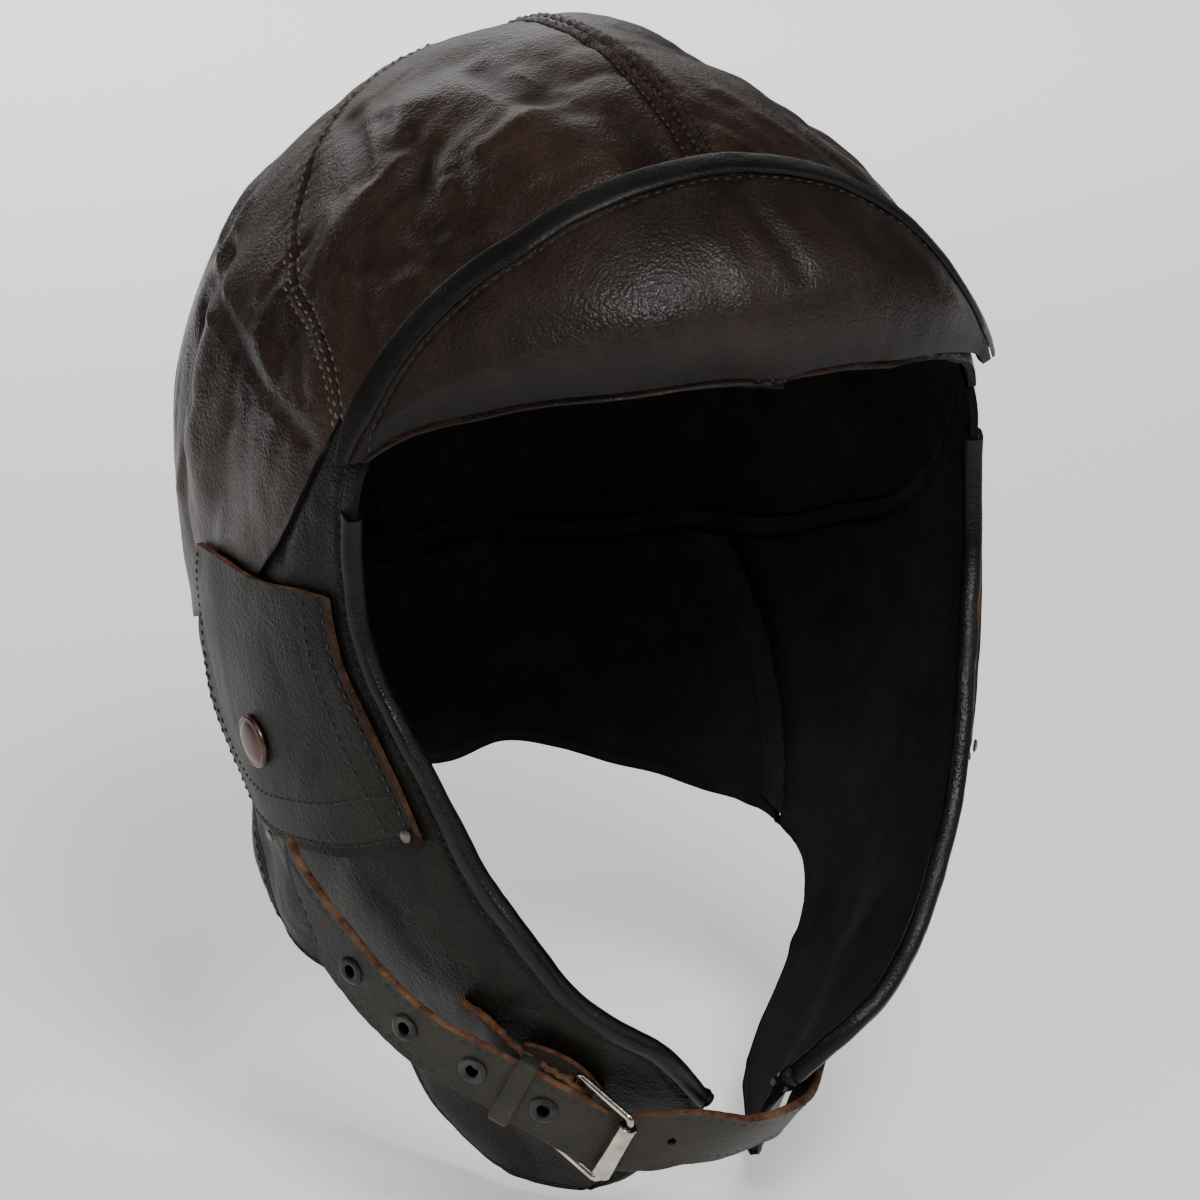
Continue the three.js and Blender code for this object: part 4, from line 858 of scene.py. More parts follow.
mirror = np.array([-1.0, 1.0])
for side, flip in (("right", np.array([1.0, 1.0])), ("left", mirror)):
    for panel, slot, finishName in (("crown_front", "crown_leather", "crown"),
                                    ("crown_side", "crown_leather", "crown"),
                                    ("ear_flap", "flap_leather", "flap")):
        leatherPanel(f"{panel}_{side}_soft", panelGrid(panel) * flip, 0.0, panelSettings["wall"],
                     panelEdges[panel], [finishName, "lining", "lining"],
                     crinkle=1.15 if finishName == "crown" else 1.0)
print("crown and flap panels made")

napeGrid = fillPatch(refine(np.vstack([centreBack, mirrorTail(centreBack)]), 9),
                     refine(np.vstack([napeHem, mirrorTail(napeHem)]), 9),
                     refine(flapRearEdge, 14), refine(flapRearEdge, 14) * mirror)
napeSeam = {**seamLook, "rows": (stitchInsets["nape"],), "pucker": 0.00016}
leatherPanel("nape_panel_soft", napeGrid, 0.0, panelSettings["wall"], {
    "top": {"roll": 0.0007, "rollWidth": 0.003}, "front": napeSeam, "rear": napeSeam,
    "bottom": {"rows": (stitchInsets["hem"],)},
}, ["flap", "lining", "lining"])
print("nape panel made")

# Tapes cover the seams on the inside.
tapeLook = {"reach": 0.005, "drop": 0.0024, "wall": 0.0005, "samples": 90}


def seamTape(name, panel, edge, trim=0):
    reach, drop = tapeLook["reach"], tapeLook["drop"]
    edgePoints, normals = insetLine(surfaces[panel], edge, 0.0)
    halfway, inside = (insetLine(surfaces[panel], edge, reach * share)[0] for share in (0.5, 1))
    columns = [inside, halfway, edgePoints, 2 * edgePoints - halfway, 2 * edgePoints - inside]
    points = np.stack([evenLine(column - normals * drop, tapeLook["samples"]) for column in columns], 1)
    points = points[:len(points) - trim]
    piece = gridPiece(name, points, tapeLook["wall"])
    smoothByAngle(piece, 60)
    dress(piece, ["lining", "lining", "lining"])


seamTape("seam_tape_front", "crown_front_right_soft", "rear")
seamTape("seam_tape_back", "crown_side_right_soft", "rear")
for side in ("right", "left"):
    seamTape(f"seam_tape_arch_{side}", f"crown_side_{side}_soft", "top")
    seamTape(f"seam_tape_hem_{side}", f"crown_side_{side}_soft", "bottom")
seamTape("seam_tape_nape_right", "nape_panel_soft", "front", 6)
seamTape("seam_tape_nape_left", "nape_panel_soft", "rear", 6)
print("seam tapes made")

# Peak
peakLook = {"wall": 0.0018, "bulge": 0.008, "edgeLift": 0.0022, "clearance": 0.0003, "fineAcross": 11,
            "fineDown": 8}
peakRows = {"reach": [0, 0.1, 0.25, 0.45, 0.75, 1], "lift": [0, 0.5, 0.9, 1, 0.6, 0.1]}
peakBase, peakEdge = sampleCurve("peakBase", 12), sampleCurve("peakEdge", 12)
wholeBase = np.vstack([peakBase, sampleCurve("peakLeftBase", 12)[1:]])
wholeEdge = np.vstack([peakEdge, sampleCurve("peakLeftEdge", 12)[1:]])
peakGrid = betweenSeams(refine(wholeBase, peakLook["fineAcross"]), refine(wholeEdge, peakLook["fineAcross"]),
                        6 * peakLook["fineDown"])


def peakHeights(shape):
    u = np.linspace(0, 1, shape[0])[:, None]
    v = np.linspace(0, 1, shape[1])[None, :]
    base = peakLook["clearance"] + (peakLook["edgeLift"] - peakLook["clearance"]) * np.minimum(v / 0.3, 1)
    hump = peakLook["bulge"] * rowValue(peakRows, "lift", v) * np.clip(np.sin(math.pi * u), 0, 1) ** 1.8
    return base + hump + peakLook["wall"] + 0 * u


peakCreases = [(0, 0.52, 2, 0.66, -1.3, 3.5), (-6, 0.62, -4, 0.74, 0.8, 4), (14, 0.6, 22, 0.74, -0.9, 8),
               (-34, 0.66, -16, 0.72, 0.5, 5)]


def peakDents(points, distances):
    return creaseHeight(headPoint(peakGrid), peakCreases)


# At the peak's base (its top edge here), where the peak rolls under into shade, a wide strip of painted shade
# darkens the leather.
leatherPanel("peak_soft", peakGrid, peakHeights(peakGrid.shape), peakLook["wall"], {
    "bottom": {"rows": (stitchInsets["peak"],)}, "top": {"roll": 0.0004, "grimeAndPaintedShade": 0.9, "grimeAndShadeWidth": 0.009},
}, ["peak", "lining", "peak"], extra=peakDents, crinkle=0.4)
print("peak made")


# Bindings
def bindingPiece(name, surface, edge, look, skip=(0, 0)):
    # A folded strip round a panel's edge: its legs lie on the panel and its turn stands past the edge.
    wall, leg, thick, gap = look["wall"], look["leg"], look["thick"], look["gap"]
    top = wall / 2 + gap + thick
    section = [(-leg, wall / 2 + gap + 0.25 * thick), (-leg + 0.0003, top - 0.35 * thick),
               (-0.75 * leg, top - 0.12 * thick), (-0.5 * leg, top), (-0.25 * leg, top + 0.05 * thick),
               (0, top)]
    turn = [((gap + thick) * math.cos(a), top * math.sin(a)) for a in np.radians(np.arange(75, -76, -15))]
    inner = [(-leg, wall / 2 + gap), (0.5 * gap, wall / 2 + gap)]
    outline = section + turn + [(a, -h) for a, h in section[::-1]]
    outline += [(a, -h) for a, h in inner] + inner[::-1]
    edgePoints, edgeNormals = insetLine(surface, edge, 0.0)
    inside = insetLine(surface, edge, 0.0012)[0]
    tangent = unit(np.gradient(edgePoints, axis=0))
    out = edgePoints - inside
    out = unit(out - np.sum(out * tangent, -1, keepdims=True) * tangent)
    up = np.cross(tangent, out)
    up = unit(up * np.sign(np.sum(up * edgeNormals, -1, keepdims=True)))
    steady = look["steady"]
    for table in (out, up):
        table[:steady], table[-steady:] = table[steady], table[-steady - 1]
    rings = []
    swell = 1 + look["uneven"] * noiseHeight(edgePoints, 170, 9.2)
    for along, high in outline:
        if along < 0:
            base, _ = insetLine(surface, edge, -along, leg)
            rings.append(base + up * (high * swell - wall / 2)[:, None])
        else:
            rings.append(edgePoints + out * along + up * (high * swell - wall / 2)[:, None])
    rings = np.stack(rings, 1)[skip[0]:len(edgePoints) - skip[1]]
    piece = loftPiece(name, rings)
    smoothByAngle(piece, 50)
    return piece


bindingLook = {
    # steady counts the stations at each end that share one direction
    "face": {"wall": 0.0018, "leg": 0.0032, "thick": 0.001, "gap": 0.0003, "uneven": 0.06, "steady": 5},
    "peak": {"wall": 0.0018, "leg": 0.0062, "thick": 0.001, "gap": 0.0003, "uneven": 0.05, "steady": 2},
}
for side in ("right", "left"):
    piece = bindingPiece(f"face_binding_{side}_soft", surfaces[f"ear_flap_{side}_soft"], "front",
                         bindingLook["face"], (12, 0))
    dress(piece, ["binding"], [f"face_binding_{side}"])
piece = bindingPiece("peak_binding_soft", surfaces["peak_soft"], "bottom", bindingLook["peak"])
dress(piece, ["binding"], ["peak_binding"])
print("bindings made")

# Ear pockets with their snaps and rivets
pocketLook = {"wall": 0.0015, "lift": 0.0006, "bulge": 0.0012, "halfWidth": 0.03, "fine": 9}
pocketCentre = skinPoint(mapPoint(-82.0, 1.42))


def pocketHeight(place):
    points = skinPoint(np.stack([-np.abs(place[..., 0]), place[..., 1]], -1))
    away = np.linalg.norm(points - pocketCentre, axis=-1)
    return pocketLook["lift"] + pocketLook["bulge"] * np.exp(-((away / pocketLook["halfWidth"]) ** 2))


pocketGrid = fillPatch(*(refine(sampleCurve(name, 8), pocketLook["fine"])
                         for name in ("pocketTop", "pocketHem", "pocketFront", "pocketRear")))


def turnedPiece(name, profile, place, axis, sides=40):
    # A circle is pushed and scaled through a profile of radius and height, as on a lathe.
    deselectAll()
    bpy.ops.mesh.primitive_circle_add(vertices=sides, radius=profile[0][0], location=(0, 0, 0))
    piece = bpy.context.object
    piece.name = piece.data.name = name
    bpy.ops.object.mode_set(mode="EDIT")
    bpy.ops.mesh.select_all(action="SELECT")
    bpy.ops.transform.translate(value=(0, 0, profile[0][1]))
    for (radius, high), (nextRadius, nextHigh) in zip(profile[:-1], profile[1:]):
        bpy.ops.mesh.extrude_edges_move(TRANSFORM_OT_translate={"value": (0, 0, nextHigh - high)})
        bpy.ops.transform.resize(value=(nextRadius / radius, nextRadius / radius, 1))
    bpy.ops.mesh.select_all(action="SELECT")
    bpy.ops.mesh.remove_doubles(threshold=0.00002)
    bpy.ops.mesh.normals_make_consistent(inside=False)
    bpy.ops.object.mode_set(mode="OBJECT")
    piece.rotation_mode = "QUATERNION"
    piece.rotation_quaternion = Vector(axis).to_track_quat("Z", "Y")
    piece.location = place
    makeActive(piece)
    bpy.ops.object.transform_apply(location=True, rotation=True, scale=True)
    bpy.ops.object.shade_smooth_by_angle(angle=math.radians(40))
    return piece


thin = 0.00001
snapProfile = [(thin, 0), (0.0059, 0), (0.0062, 0.0003), (0.0062, 0.0007), (0.006, 0.00105),
               (0.0056, 0.0012), (0.0053, 0.0011), (0.0051, 0.00112), (0.0046, 0.00145),
               (0.0036, 0.00178), (0.0024, 0.00198), (0.0012, 0.00206), (thin, 0.0021)]
rivetProfile = [(thin, 0), (0.0014, 0), (0.0015, 0.00015), (0.00145, 0.0004), (0.0011, 0.00066),
                (0.0006, 0.00078), (thin, 0.0008)]
fittings = [("snap_cap", (-85.5, 1.48), True, snapProfile, 48),
            ("front_rivet", (-57.0, 1.56), True, rivetProfile, 20),
            ("rear_rivet", (-93.0, 1.72), False, rivetProfile, 20)]
for side, flip in (("right", np.array([1.0, 1.0])), ("left", mirror)):
    leatherPanel(f"ear_pocket_{side}_soft", pocketGrid * flip,
                 pocketHeight(pocketGrid * flip) + pocketLook["wall"], pocketLook["wall"],
                 {"bottom": {"rows": (stitchInsets["hem"],)},
                  "front": {"rows": (stitchInsets["pocketFront"],)}, "rear": {"roll": 0.0003}},
                 ["flap", "flap", "rawEdge"], crinkle=0.5)
    for name, at, onPocket, profile, sides in fittings:
        place = mapPoint(*at) * flip
        lift = 0.0003 + (pocketHeight(place) + pocketLook["wall"] if onPocket else 0)
        piece = turnedPiece(f"{name}_{side}_metal", profile, skinPoint(place, lift), headNormal(place), sides)
        dress(piece, ["snapMetal" if name == "snap_cap" else "rivetMetal"], [f"{name}_{side}"])
print("pockets, snaps and rivets made")

# Chin strap
strapRows = [  # turn, reach, lift as a share of the stand-off, lean in degrees, from the free tip
    (-78, 1.62, 0.65, 8), (-76, 1.69, 0.75, 8), (-71, 1.79, 0.9, 12), (-65, 1.89, 0.98, 16),
    (-58, 1.97, 1, 20), (-50, 2.03, 1, 24), (-40, 2.1, 1.06, 28), (-31, 2.17, 1.03, 29),
    (-23, 2.19, 0.92, 27), (-14, 2.2, 0.72, 20), (-4, 2.24, 0.58, 5), (7, 2.27, 0.38, 0),
    (18, 2.3, 0.34, 3), (31, 2.29, 0.3, 6), (42, 2.27, 0.24, 4),
]
strapLook = {
    "width": 0.015, "wall": 0.002, "tip": 0.026, "standOff": 0.01, "roller": 0.103, "eyeletPitch": 0.0175,
    "eyelets": 4, "hole": 0.0025, "prongHole": 0.001, "prongPlace": 0.012, "corner": 0.0004,
    "sideBulge": 0.0001, "groove": 0.0002, "grooveWidth": 0.0006, "edgeWear": 0.00022,
    "wearScale": (420, 260), "wearFrom": 0.8, "wave": 0.0002, "waveScale": 90, "stitchInset": 0.0019,
    "stitchStart": 0.012, "stitchEnd": 0.004, "stitchLift": 0.00185,
}
strapPlaces = np.array([mapPoint(row[0], row[1]) for row in strapRows])
strapNodes = skinPoint(strapPlaces, np.array([row[2] for row in strapRows]) * strapLook["standOff"])
strapSamples = 2800
strapLine = splineLine(strapNodes, strapSamples, extend=True)
strapTangents = unit(np.gradient(strapLine, axis=0))
nodeStep = strapSamples // (len(strapRows) - 1)
nodeTangents = strapTangents[::nodeStep]
nodeNormals = headNormal(strapPlaces)
nodeNormals = unit(nodeNormals - np.sum(nodeNormals * nodeTangents, -1, keepdims=True) * nodeTangents)
nodeDown = np.cross(nodeNormals, nodeTangents)
nodeDown *= -np.sign(nodeDown[:, 2:3])
leans = np.radians([row[3] for row in strapRows])[:, None]
strapAcross = splineLine(nodeDown * np.cos(leans) + nodeNormals * np.sin(leans), strapSamples, extend=True)
strapMap = splineLine(strapPlaces, strapSamples)
strapRun = np.concatenate([[0], np.cumsum(np.linalg.norm(np.diff(strapLine, axis=0), axis=1))])
strapLength = strapRun[-1]


def strapFrame(distance):
    def pick(table):
        return np.stack([np.interp(distance, strapRun, table[:, k]) for k in range(table.shape[1])], -1)
    centre, tangent, across, place = (pick(t) for t in (strapLine, strapTangents, strapAcross, strapMap))
    tangent = unit(tangent)
    across = unit(across - np.sum(across * tangent, -1, keepdims=True) * tangent)
    up = np.cross(across, tangent)
    up *= np.sign(np.sum(up * headNormal(place), -1, keepdims=True))
    return {"centre": centre, "tangent": tangent, "across": across, "up": up, "place": place}


def inFrame(at, along, wide, high):
    return at["centre"] + at["tangent"] * along + at["across"] * wide + at["up"] * high


def strapSection(half, wall):
    # Wide and high places round the strap's section, and whether each side of it is a raw edge.
    corner, bulge = strapLook["corner"], strapLook["sideBulge"]
    across = np.linspace(-1, 1, 15)
    bottom = [(x * (half - corner), 0.0) for x in across]
    right = [(half, corner), (half + bulge, wall / 2), (half, wall - corner)]
    top = [(x * (half - corner), wall) for x in across[::-1]]
    left = [(-half, wall - corner), (-half - bulge, wall / 2), (-half, corner)]
    marks = [0] * 14 + [1] * 4 + [0] * 14 + [1] * 4
    return bottom + right + top + left, marks


def strapHalfWidth(distance):
    return strapLook["width"] / 2 * np.minimum(1, 0.1 + 0.9 * (distance / strapLook["tip"]) ** 0.8)


strapStations = np.linspace(0, strapLength, 260)
strapAt = strapFrame(strapStations)
strapHalf = strapHalfWidth(strapStations)
_, strapMarks = strapSection(strapLook["width"] / 2, strapLook["wall"])
rings = []
for n, distance in enumerate(strapStations):
    at = {key: value[n] for key, value in strapAt.items()}
    section, _ = strapSection(strapHalf[n], strapLook["wall"])
    ring = []
    for wide, high in section:
        if high > 0.55 * strapLook["wall"]:
            stitchAway = abs(abs(wide) - (strapHalf[n] - strapLook["stitchInset"]))
            high -= strapLook["groove"] * math.exp(-((stitchAway / strapLook["grooveWidth"]) ** 2))
        worn = 0
        if abs(wide) > strapLook["wearFrom"] * strapHalf[n]:
            alongScale, acrossScale = strapLook["wearScale"]
            worn = strapLook["edgeWear"] * noise.noise((distance * alongScale, wide * acrossScale, 3.3))
        scale = strapLook["waveScale"]
        wave = strapLook["wave"] * noise.noise((distance * scale, wide * scale, 7.7))
        ring.append(inFrame(at, 0, wide + worn, high + wave))
    rings.append(ring)
strap = loftPiece("chin_strap_soft", np.array(rings), slots=strapMarks)
holePlaces = [(strapLook["roller"] - (i + 1) * strapLook["eyeletPitch"], strapLook["hole"])
              for i in range(strapLook["eyelets"])]
holePlaces.append((strapLook["roller"] + strapLook["prongPlace"], strapLook["prongHole"]))
for distance, radius in holePlaces:
    at = strapFrame(distance)
    deselectAll()
    bpy.ops.mesh.primitive_cylinder_add(vertices=32, radius=radius, depth=0.008, location=at["centre"],
                                        rotation=Vector(at["up"]).to_track_quat("Z", "Y").to_euler())
    punch = bpy.context.object
    applyModifier(strap, "BOOLEAN", operation="DIFFERENCE", object=punch, solver="EXACT")
    bpy.data.objects.remove(punch)
smoothByAngle(strap, 45)
dress(strap, ["strap", "rawEdge"], ["chin_strap"])
strapRowsOfStitches = []
strapThread = {"pitch": 0.0031, "radius": 0.00022, "fill": 0.7, "sag": 0.0003, "stand": 0.00002}
for edge in (-1, 1):
    runs = np.linspace(strapLook["stitchStart"], strapLength - strapLook["stitchEnd"], 300)
    at = strapFrame(runs)
    half = strapHalfWidth(runs) - strapLook["stitchInset"]
    line = at["centre"] + at["across"] * (edge * half)[:, None] + at["up"] * strapLook["stitchLift"]
    strapRowsOfStitches.append(stitchRow(line, at["up"], strapThread))
stitchPiece("strap_stitches", strapRowsOfStitches, "flapThread")
print("strap made, length", round(float(strapLength), 4))

# Eyelets, buckle, tab, patch and keeper
eyeletLook = {"bore": 0.0015, "rim": 0.0033, "barrel": 0.0021, "wall": 0.0005, "gap": 0.00015}
low, high = -eyeletLook["gap"], strapLook["wall"] + eyeletLook["gap"]
bore, rim, barrel, wall = (eyeletLook[key] for key in ("bore", "rim", "barrel", "wall"))
eyeletProfile = [(bore, low - 0.7 * wall), (bore + 0.0003, low - wall), (rim - 0.0004, low - wall),
                 (rim, low - 0.5 * wall), (rim - 0.0002, low), (barrel, low), (barrel, high),
                 (rim - 0.0002, high), (rim, high + 0.4 * wall), (rim - 0.0003, high + 0.85 * wall),
                 (bore + 0.0009, high + 1.15 * wall), (bore + 0.0003, high + wall),
                 (bore, high + 0.6 * wall), (bore, low - 0.7 * wall)]
for i in range(strapLook["eyelets"]):
    at = strapFrame(holePlaces[i][0])
    piece = turnedPiece(f"eyelet_{i + 1}_metal", eyeletProfile, at["centre"], at["up"], 36)
    dress(piece, ["eyeletMetal"], [f"eyelet_{i + 1}"])

buckleLook = {"clearance": 0.0008, "roller": 0.0021, "wire": 0.0009, "length": 0.014, "sideGap": 0.001,
              "corner": 0.0015, "tabWall": 0.001, "gap": 0.0003, "barDrop": 0.0005, "rollerEdge": 0.0002}
rollerAt = strapFrame(strapLook["roller"])
barAt = strapFrame(strapLook["roller"] - buckleLook["length"])
sleeve = buckleLook["wire"] + buckleLook["gap"] + buckleLook["tabWall"]
barDepth = buckleLook["barDrop"] + 2 * buckleLook["gap"] + sleeve
rollerCentre = inFrame(rollerAt, 0, 0, strapLook["wall"] + buckleLook["clearance"] + buckleLook["roller"])
barCentre = inFrame(barAt, 0, 0, -barDepth)
frameAlong = rollerCentre - barCentre
frameSpan = float(np.linalg.norm(frameAlong))
frameAlong = frameAlong / frameSpan
frameAcross = unit(rollerAt["across"] + barAt["across"])
frameAcross = unit(frameAcross - (frameAcross @ frameAlong) * frameAlong)
frameUp = np.cross(frameAcross, frameAlong)
frameHalf = strapLook["width"] / 2 + buckleLook["sideGap"] + buckleLook["wire"]
corner = buckleLook["corner"]
wirePath = []
for x, y, first in ((frameSpan - corner, corner - frameHalf, -90),
                    (frameSpan - corner, frameHalf - corner, 0), (corner, frameHalf - corner, 90),
                    (corner, corner - frameHalf, 180)):
    for angle in np.radians(first + np.arange(0, 91, 10)):
        wirePath.append(barCentre + frameAlong * (x + corner * math.cos(angle))
                        + frameAcross * (y + corner * math.sin(angle)))
wirePath = np.array(wirePath)
wireRings = []
for n, point in enumerate(wirePath):
    tangent = unit(wirePath[(n + 1) % len(wirePath)] - wirePath[n - 1])
    out = unit(np.cross(tangent, frameUp))
    angles = np.radians(np.arange(0, 360, 22.5))
    wireRings.append([point + buckleLook["wire"] * (math.cos(a) * out + math.sin(a) * frameUp)
                      for a in angles])
wire = loftPiece("buckle_frame_metal", np.array(wireRings), closed=True)
smoothByAngle(wire, 60)
dress(wire, ["buckleMetal"], ["buckle_frame"])
rollerHalf = frameHalf - corner - buckleLook["gap"]
rollerBore, rollerRadius = buckleLook["wire"] + buckleLook["gap"], buckleLook["roller"]
edge = buckleLook["rollerEdge"]
rollerProfile = [(rollerBore, -rollerHalf), (rollerRadius - edge, -rollerHalf),
                 (rollerRadius, -rollerHalf + edge), (rollerRadius, rollerHalf - edge),
                 (rollerRadius - edge, rollerHalf), (rollerBore, rollerHalf), (rollerBore, -rollerHalf)]
roller = turnedPiece("buckle_roller_metal", rollerProfile, rollerCentre, frameAcross, 40)
dress(roller, ["buckleMetal"], ["buckle_roller"])

tabRows = {"reach": [0.7, 1, 1.35, 1.8, 2.1, 2.5, 2.85, 3.3],
           "drop": [0.85, 1, 0.95, 0.92, 0.92, 0.92, 0.92, 0.92], "seat": [0, 0, 0, 0, 0.15, 0.65, 1, 1]}
tabLook = {"halfWidth": 0.007, "seatLift": 0.0013, "rings": 70, "foldWidth": 0.14, "ragged": 0.0006,
           "fineRagged": 0.0003}
tabRings = []
for back in np.linspace(tabRows["reach"][0], tabRows["reach"][-1], tabLook["rings"]):
    at = strapFrame(strapLook["roller"] - back * buckleLook["length"])
    seat = float(np.clip(rowValue(tabRows, "seat", back), 0, 1))
    normal = headNormal(at["place"])
    down = unit(np.cross(at["tangent"], normal))
    down *= np.sign(down @ at["across"])
    sideways = unit(at["across"] * (1 - seat) + down * seat)
    up = unit(at["up"] * (1 - seat) + normal * seat)
    centre = inFrame(at, 0, 0, -float(rowValue(tabRows, "drop", back)) * barDepth) * (1 - seat)
    centre = centre + skinPoint(at["place"], np.array(tabLook["seatLift"])) * seat
    thick = buckleLook["tabWall"]
    thick += (sleeve - thick) * math.exp(-(((back - 1) / tabLook["foldWidth"]) ** 2))
    ragged = tabLook["ragged"] * noise.noise((back * 9, 2.2, 1.1))
    ragged += tabLook["fineRagged"] * noise.noise((back * 31, 5.2, 1.1))
    section, tabMarks = strapSection(tabLook["halfWidth"], 2 * thick)
    tabRings.append([centre + sideways * (wide + ragged * (wide < 0)) + up * (deep - thick)
                     for wide, deep in section])
tab = loftPiece("buckle_tab_soft", np.array(tabRings), slots=tabMarks)
smoothByAngle(tab, 45)
dress(tab, ["strap", "rawEdge"], ["buckle_tab"])

patchGrid = betweenSeams(refine(sampleCurve("patchTop", 6), 8), refine(sampleCurve("patchHem", 6), 8), 30)
patchLook = {"lift": 0.001, "wall": 0.0012}
leatherPanel("buckle_patch_soft", patchGrid, patchLook["lift"] + patchLook["wall"], patchLook["wall"],
             {"bottom": {"rows": (stitchInsets["patch"],)}},
             ["strap", "strap", "rawEdge"], crinkle=0.4)

keeperLook = {"distance": 0.025, "width": 0.0045, "wall": 0.0014, "sideGap": 0.0003, "over": 0.0023,
              "under": 0.0003, "round": 0.0006, "ragged": 0.00025}
keeperAt = strapFrame(strapLook["roller"] - keeperLook["distance"])
keeperRound = keeperLook["round"]
keeperHalf = strapLook["width"] / 2 + keeperLook["sideGap"] - keeperRound
keeperTop, keeperLow = keeperLook["over"] - keeperRound, keeperRound - keeperLook["under"]
keeperPath = []
for wide, deep, first in ((keeperHalf, keeperTop, 0), (-keeperHalf, keeperTop, 90),
                          (-keeperHalf, keeperLow, 180), (keeperHalf, keeperLow, 270)):
    for angle in np.radians(first + np.arange(0, 91, 15)):
        keeperPath.append((wide, deep, math.cos(angle), math.sin(angle)))
keeperRings = []
halfBand, wall = keeperLook["width"] / 2, keeperLook["wall"]
bandSection = [(-halfBand, 0.0001), (-halfBand + 0.0003, 0), (0, 0), (halfBand - 0.0003, 0),
               (halfBand, 0.0001), (halfBand + 0.0001, wall / 2), (halfBand, wall - 0.0002),
               (halfBand - 0.0003, wall), (0, wall + 0.00005), (-halfBand + 0.0003, wall),
               (-halfBand, wall - 0.0002), (-halfBand - 0.0001, wall / 2)]
for n, (wide, deep, outWide, outDeep) in enumerate(keeperPath):
    ring = []
    for along, high in bandSection:
        reachOut = keeperRound + high
        along += keeperLook["ragged"] * noise.noise((n * 0.4, along * 300, 4.4))
        ring.append(inFrame(keeperAt, along, wide + outWide * reachOut, deep + outDeep * reachOut))
    keeperRings.append(ring)
keeper = loftPiece("strap_keeper_soft", np.array(keeperRings), closed=True,
                   slots=[0, 0, 0, 0, 1, 1, 0, 0, 0, 0, 1, 1])
smoothByAngle(keeper, 45)
dress(keeper, ["strap", "rawEdge"], ["strap_keeper"])
print("buckle, tab, patch and keeper made")

# Stitch rows
threads = {
    "crown": {"pitch": 0.0028, "radius": 0.00034, "fill": 0.62, "sag": 0.0003, "slant": 0.16,
              "stand": 0.0001},
    "seam": {"pitch": 0.0026, "radius": 0.0005, "fill": 0.62, "sag": 0.0004, "slant": 0.35, "stand": 0.0003},
    "flap": {"pitch": 0.0028, "radius": 0.00028, "fill": 0.68, "sag": 0.0003, "slant": 0.06},
}


def surfaceLine(surface, shares, samples=240):
    # A line over a panel through shares of its two directions.
    line = evenLine(splineLine(shares, 400, extend=len(shares) > 2), samples)
    points, normals = surface["points"], surface["normals"]
    i, j = line[:, 0] * (points.shape[0] - 1), line[:, 1] * (points.shape[1] - 1)
    i0 = np.clip(i.astype(int), 0, points.shape[0] - 2)
    j0 = np.clip(j.astype(int), 0, points.shape[1] - 2)
    s, t = (i - i0)[:, None], (j - j0)[:, None]

    def blend(table):
        return ((table[i0, j0] * (1 - s) + table[i0 + 1, j0] * s) * (1 - t)
                + (table[i0, j0 + 1] * (1 - s) + table[i0 + 1, j0 + 1] * s) * t)
    return blend(points), unit(blend(normals))


def edgeStitches(panel, edge, inset, thread, margin=0.0):
    line, normals = insetLine(surfaces[f"{panel}_soft"], edge, stitchInsets[inset])
    return stitchRow(line, normals, threads[thread], margin)


hemMargin = 0.005  # where the rows along the flap's edges start and end
rearStart = 4 / 22  # the share of the flap's rear edge that lies behind the crown
for side in ("right", "left"):
    rows = [edgeStitches(f"{panel}_{side}", edge, inset, "crown")
            for panel, edge, inset in (("crown_front", "bottom", "archFront"),
                                       ("crown_side", "top", "archFirst"),
                                       ("crown_side", "top", "archSecond"))]
    stitchPiece(f"crown_stitches_{side}", rows, "crownThread")
    seamInsets = ("seam", "seamMiddle") if side == "right" else ("seam",)
    rows = [edgeStitches(f"{panel}_{side}", "rear", inset, "seam")
            for panel in ("crown_front", "crown_side") for inset in seamInsets]
    stitchPiece(f"seam_stitches_{side}", rows, "seamThread")
    rows = [edgeStitches(f"ear_flap_{side}", edge, inset, "flap", hemMargin)
            for edge, inset in (("front", "face"), ("bottom", "hem"))]
    rear = insetLine(surfaces[f"ear_flap_{side}_soft"], "rear", stitchInsets["hem"])
    cut = int(len(rear[0]) * rearStart)
    rows.append(stitchRow(rear[0][cut:], rear[1][cut:], threads["flap"], hemMargin))
    pocket = surfaces[f"ear_pocket_{side}_soft"]
    for shares in ([(0.04, 0.965), (0.5, 0.962), (0.96, 0.955)],
                   [(0.036, 0.02), (0.036, 0.5), (0.034, 0.96)],
                   [(0.15, 0.02), (0.15, 0.5), (0.13, 0.955)],
                   [(0.04, 0.8), (0.25, 0.81), (0.5, 0.81), (0.7, 0.79), (0.83, 0.72), (0.92, 0.55),
                    (0.95, 0.35)],
                   [(0.965, 0.02), (0.968, 0.5), (0.962, 0.94)]):
        rows.append(stitchRow(*surfaceLine(pocket, shares), threads["flap"]))
    stitchPiece(f"flap_stitches_{side}", rows, "flapThread")
napeRows = [edgeStitches("nape_panel", edge, inset, "flap")
            for edge, inset in (("bottom", "hem"), ("front", "nape"), ("rear", "nape"))]
stitchPiece("nape_stitches", napeRows, "flapThread")
stitchPiece("peak_stitches", [edgeStitches("peak", "bottom", "peak", "flap")], "flapThread")
print("stitches made")

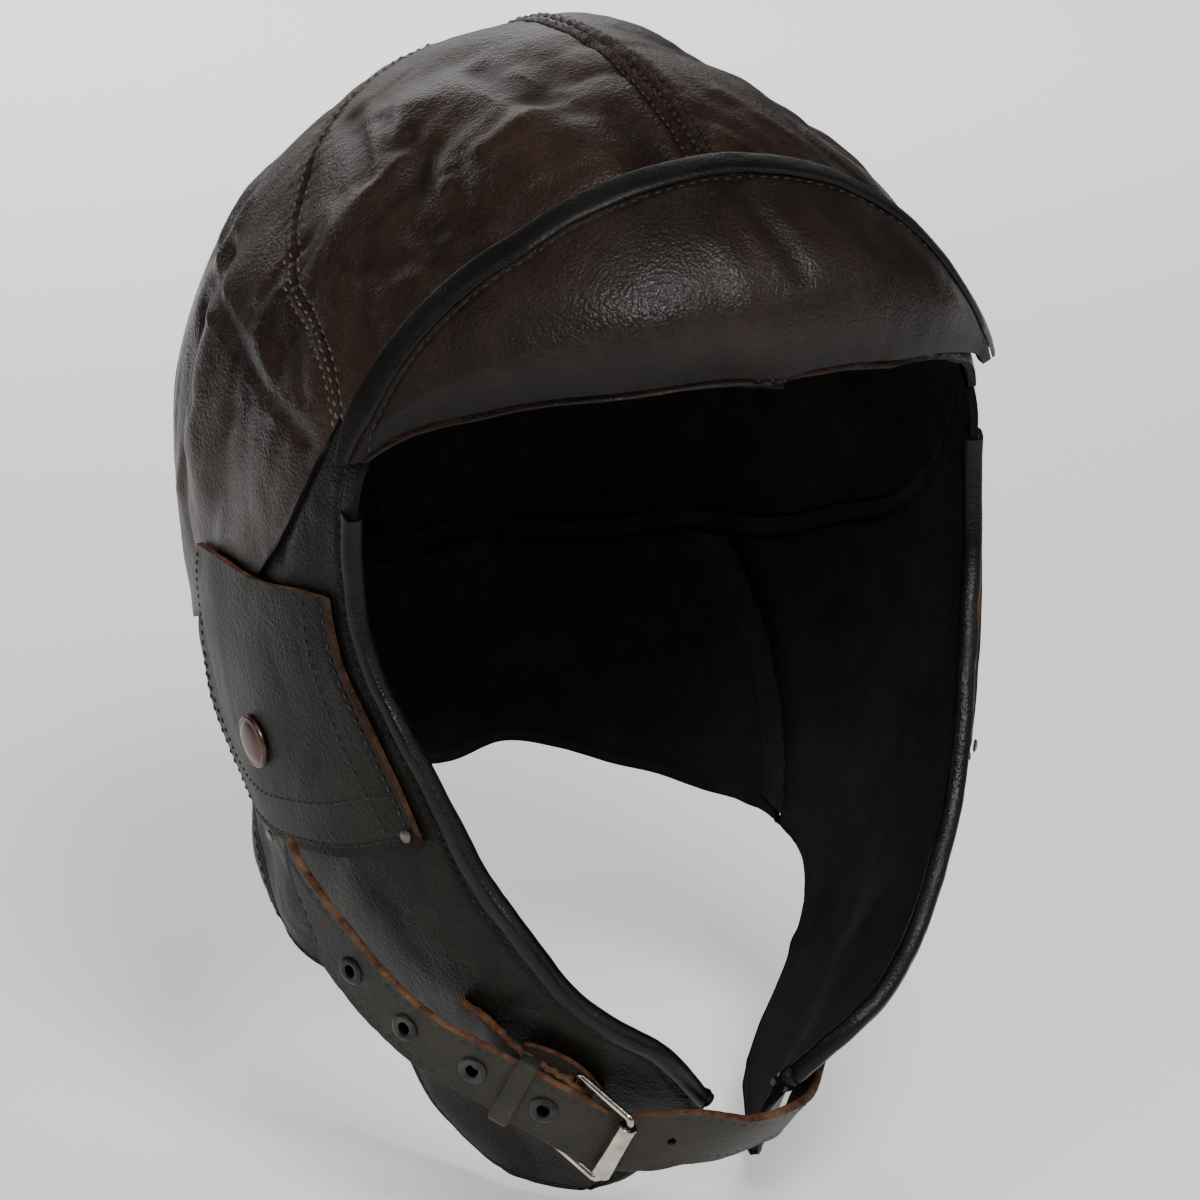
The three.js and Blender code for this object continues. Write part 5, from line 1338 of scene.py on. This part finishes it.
# Floor, lights and camera
stageLook = {"floorSize": 6.0, "floorDrop": 0.004, "floor": (0.92, 0.92, 0.91), "floorRoughness": 0.9,
             "floorGlow": 0.42, "sky": (1.0, 1.0, 1.0), "skyStrength": 0.09,
             "floorLight": {"place": (0.35, 1.9, 0.5), "size": 1.8, "power": 22}}
deselectAll()
bpy.ops.mesh.primitive_plane_add(size=stageLook["floorSize"],
                                 location=(0, 0, frameLow[2] - stageLook["floorDrop"]))
floor = bpy.context.object
floor.name = "studio_floor"
floorFinish, tree, shader, place = newFinish("paleFloor")
shader.inputs["Base Color"].default_value = (*stageLook["floor"], 1)
shader.inputs["Roughness"].default_value = stageLook["floorRoughness"]
shader.inputs["Emission Color"].default_value = (1, 1, 1, 1)
shader.inputs["Emission Strength"].default_value = stageLook["floorGlow"]
floor.data.materials.append(floorFinish)
floor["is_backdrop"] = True

world = bpy.data.worlds.new("softStudio")
bpy.context.scene.world = world
world.use_nodes = True
background = world.node_tree.nodes["Background"]
background.inputs["Color"].default_value = (*stageLook["sky"], 1)
background.inputs["Strength"].default_value = stageLook["skyStrength"]

target = Vector((0, 0, -0.1282))
lightRows = [  # name, azimuth, elevation, distance, size, power
    ("keyLight", -10, 42, 1.6, 0.42, 19),
    ("sideLight", -82, 34, 1.6, 0.6, 2.2),
    ("fillLight", 48, 30, 1.7, 0.8, 4),
    ("topLight", -40, 70, 1.4, 0.5, 1.6),
    ("rearLight", 160, 40, 1.6, 0.7, 2),
]
for name, azimuth, elevation, distance, size, power in lightRows:
    a, e = math.radians(azimuth), math.radians(elevation)
    back = Vector((math.sin(a) * math.cos(e), -math.cos(a) * math.cos(e), math.sin(e)))
    bpy.ops.object.light_add(type="AREA", location=target + back * distance)
    light = bpy.context.object
    light.name = name
    light.data.size = size
    light.data.energy = power
    light.rotation_mode = "QUATERNION"
    light.rotation_quaternion = back.to_track_quat("Z", "Y")

# A wide light behind the helmet brightens the floor there.
bpy.ops.object.light_add(type="AREA", location=stageLook["floorLight"]["place"])
backLight = bpy.context.object
backLight.name = "floorLight"
backLight.data.size = stageLook["floorLight"]["size"]
backLight.data.energy = stageLook["floorLight"]["power"]

cameraLook = {"azimuth": -25.5, "elevation": 15.3, "roll": -0.76, "distance": 1.169, "lens": 151.85,
              "shiftX": 0.0203, "shiftY": -0.0128}
a, e, turn = (math.radians(cameraLook[key]) for key in ("azimuth", "elevation", "roll"))
back = Vector((math.sin(a) * math.cos(e), -math.cos(a) * math.cos(e), math.sin(e)))
right = Vector((math.cos(a), math.sin(a), 0))
up = back.cross(right)
rolledRight = right * math.cos(turn) + up * math.sin(turn)
rolledUp = up * math.cos(turn) - right * math.sin(turn)
bpy.ops.object.camera_add()
camera = bpy.context.object
camera.name = "photoCamera"
camera.matrix_world = Matrix.Translation(target + back * cameraLook["distance"]) @ Matrix(
    (rolledRight, rolledUp, back)).transposed().to_4x4()
camera.data.lens = cameraLook["lens"]
camera.data.sensor_width = 36
camera.data.shift_x = cameraLook["shiftX"]
camera.data.shift_y = cameraLook["shiftY"]
camera.data.clip_start = 0.05
camera.data.clip_end = 50
bpy.context.scene.camera = camera
print("floor, lights and camera set")

low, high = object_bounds()
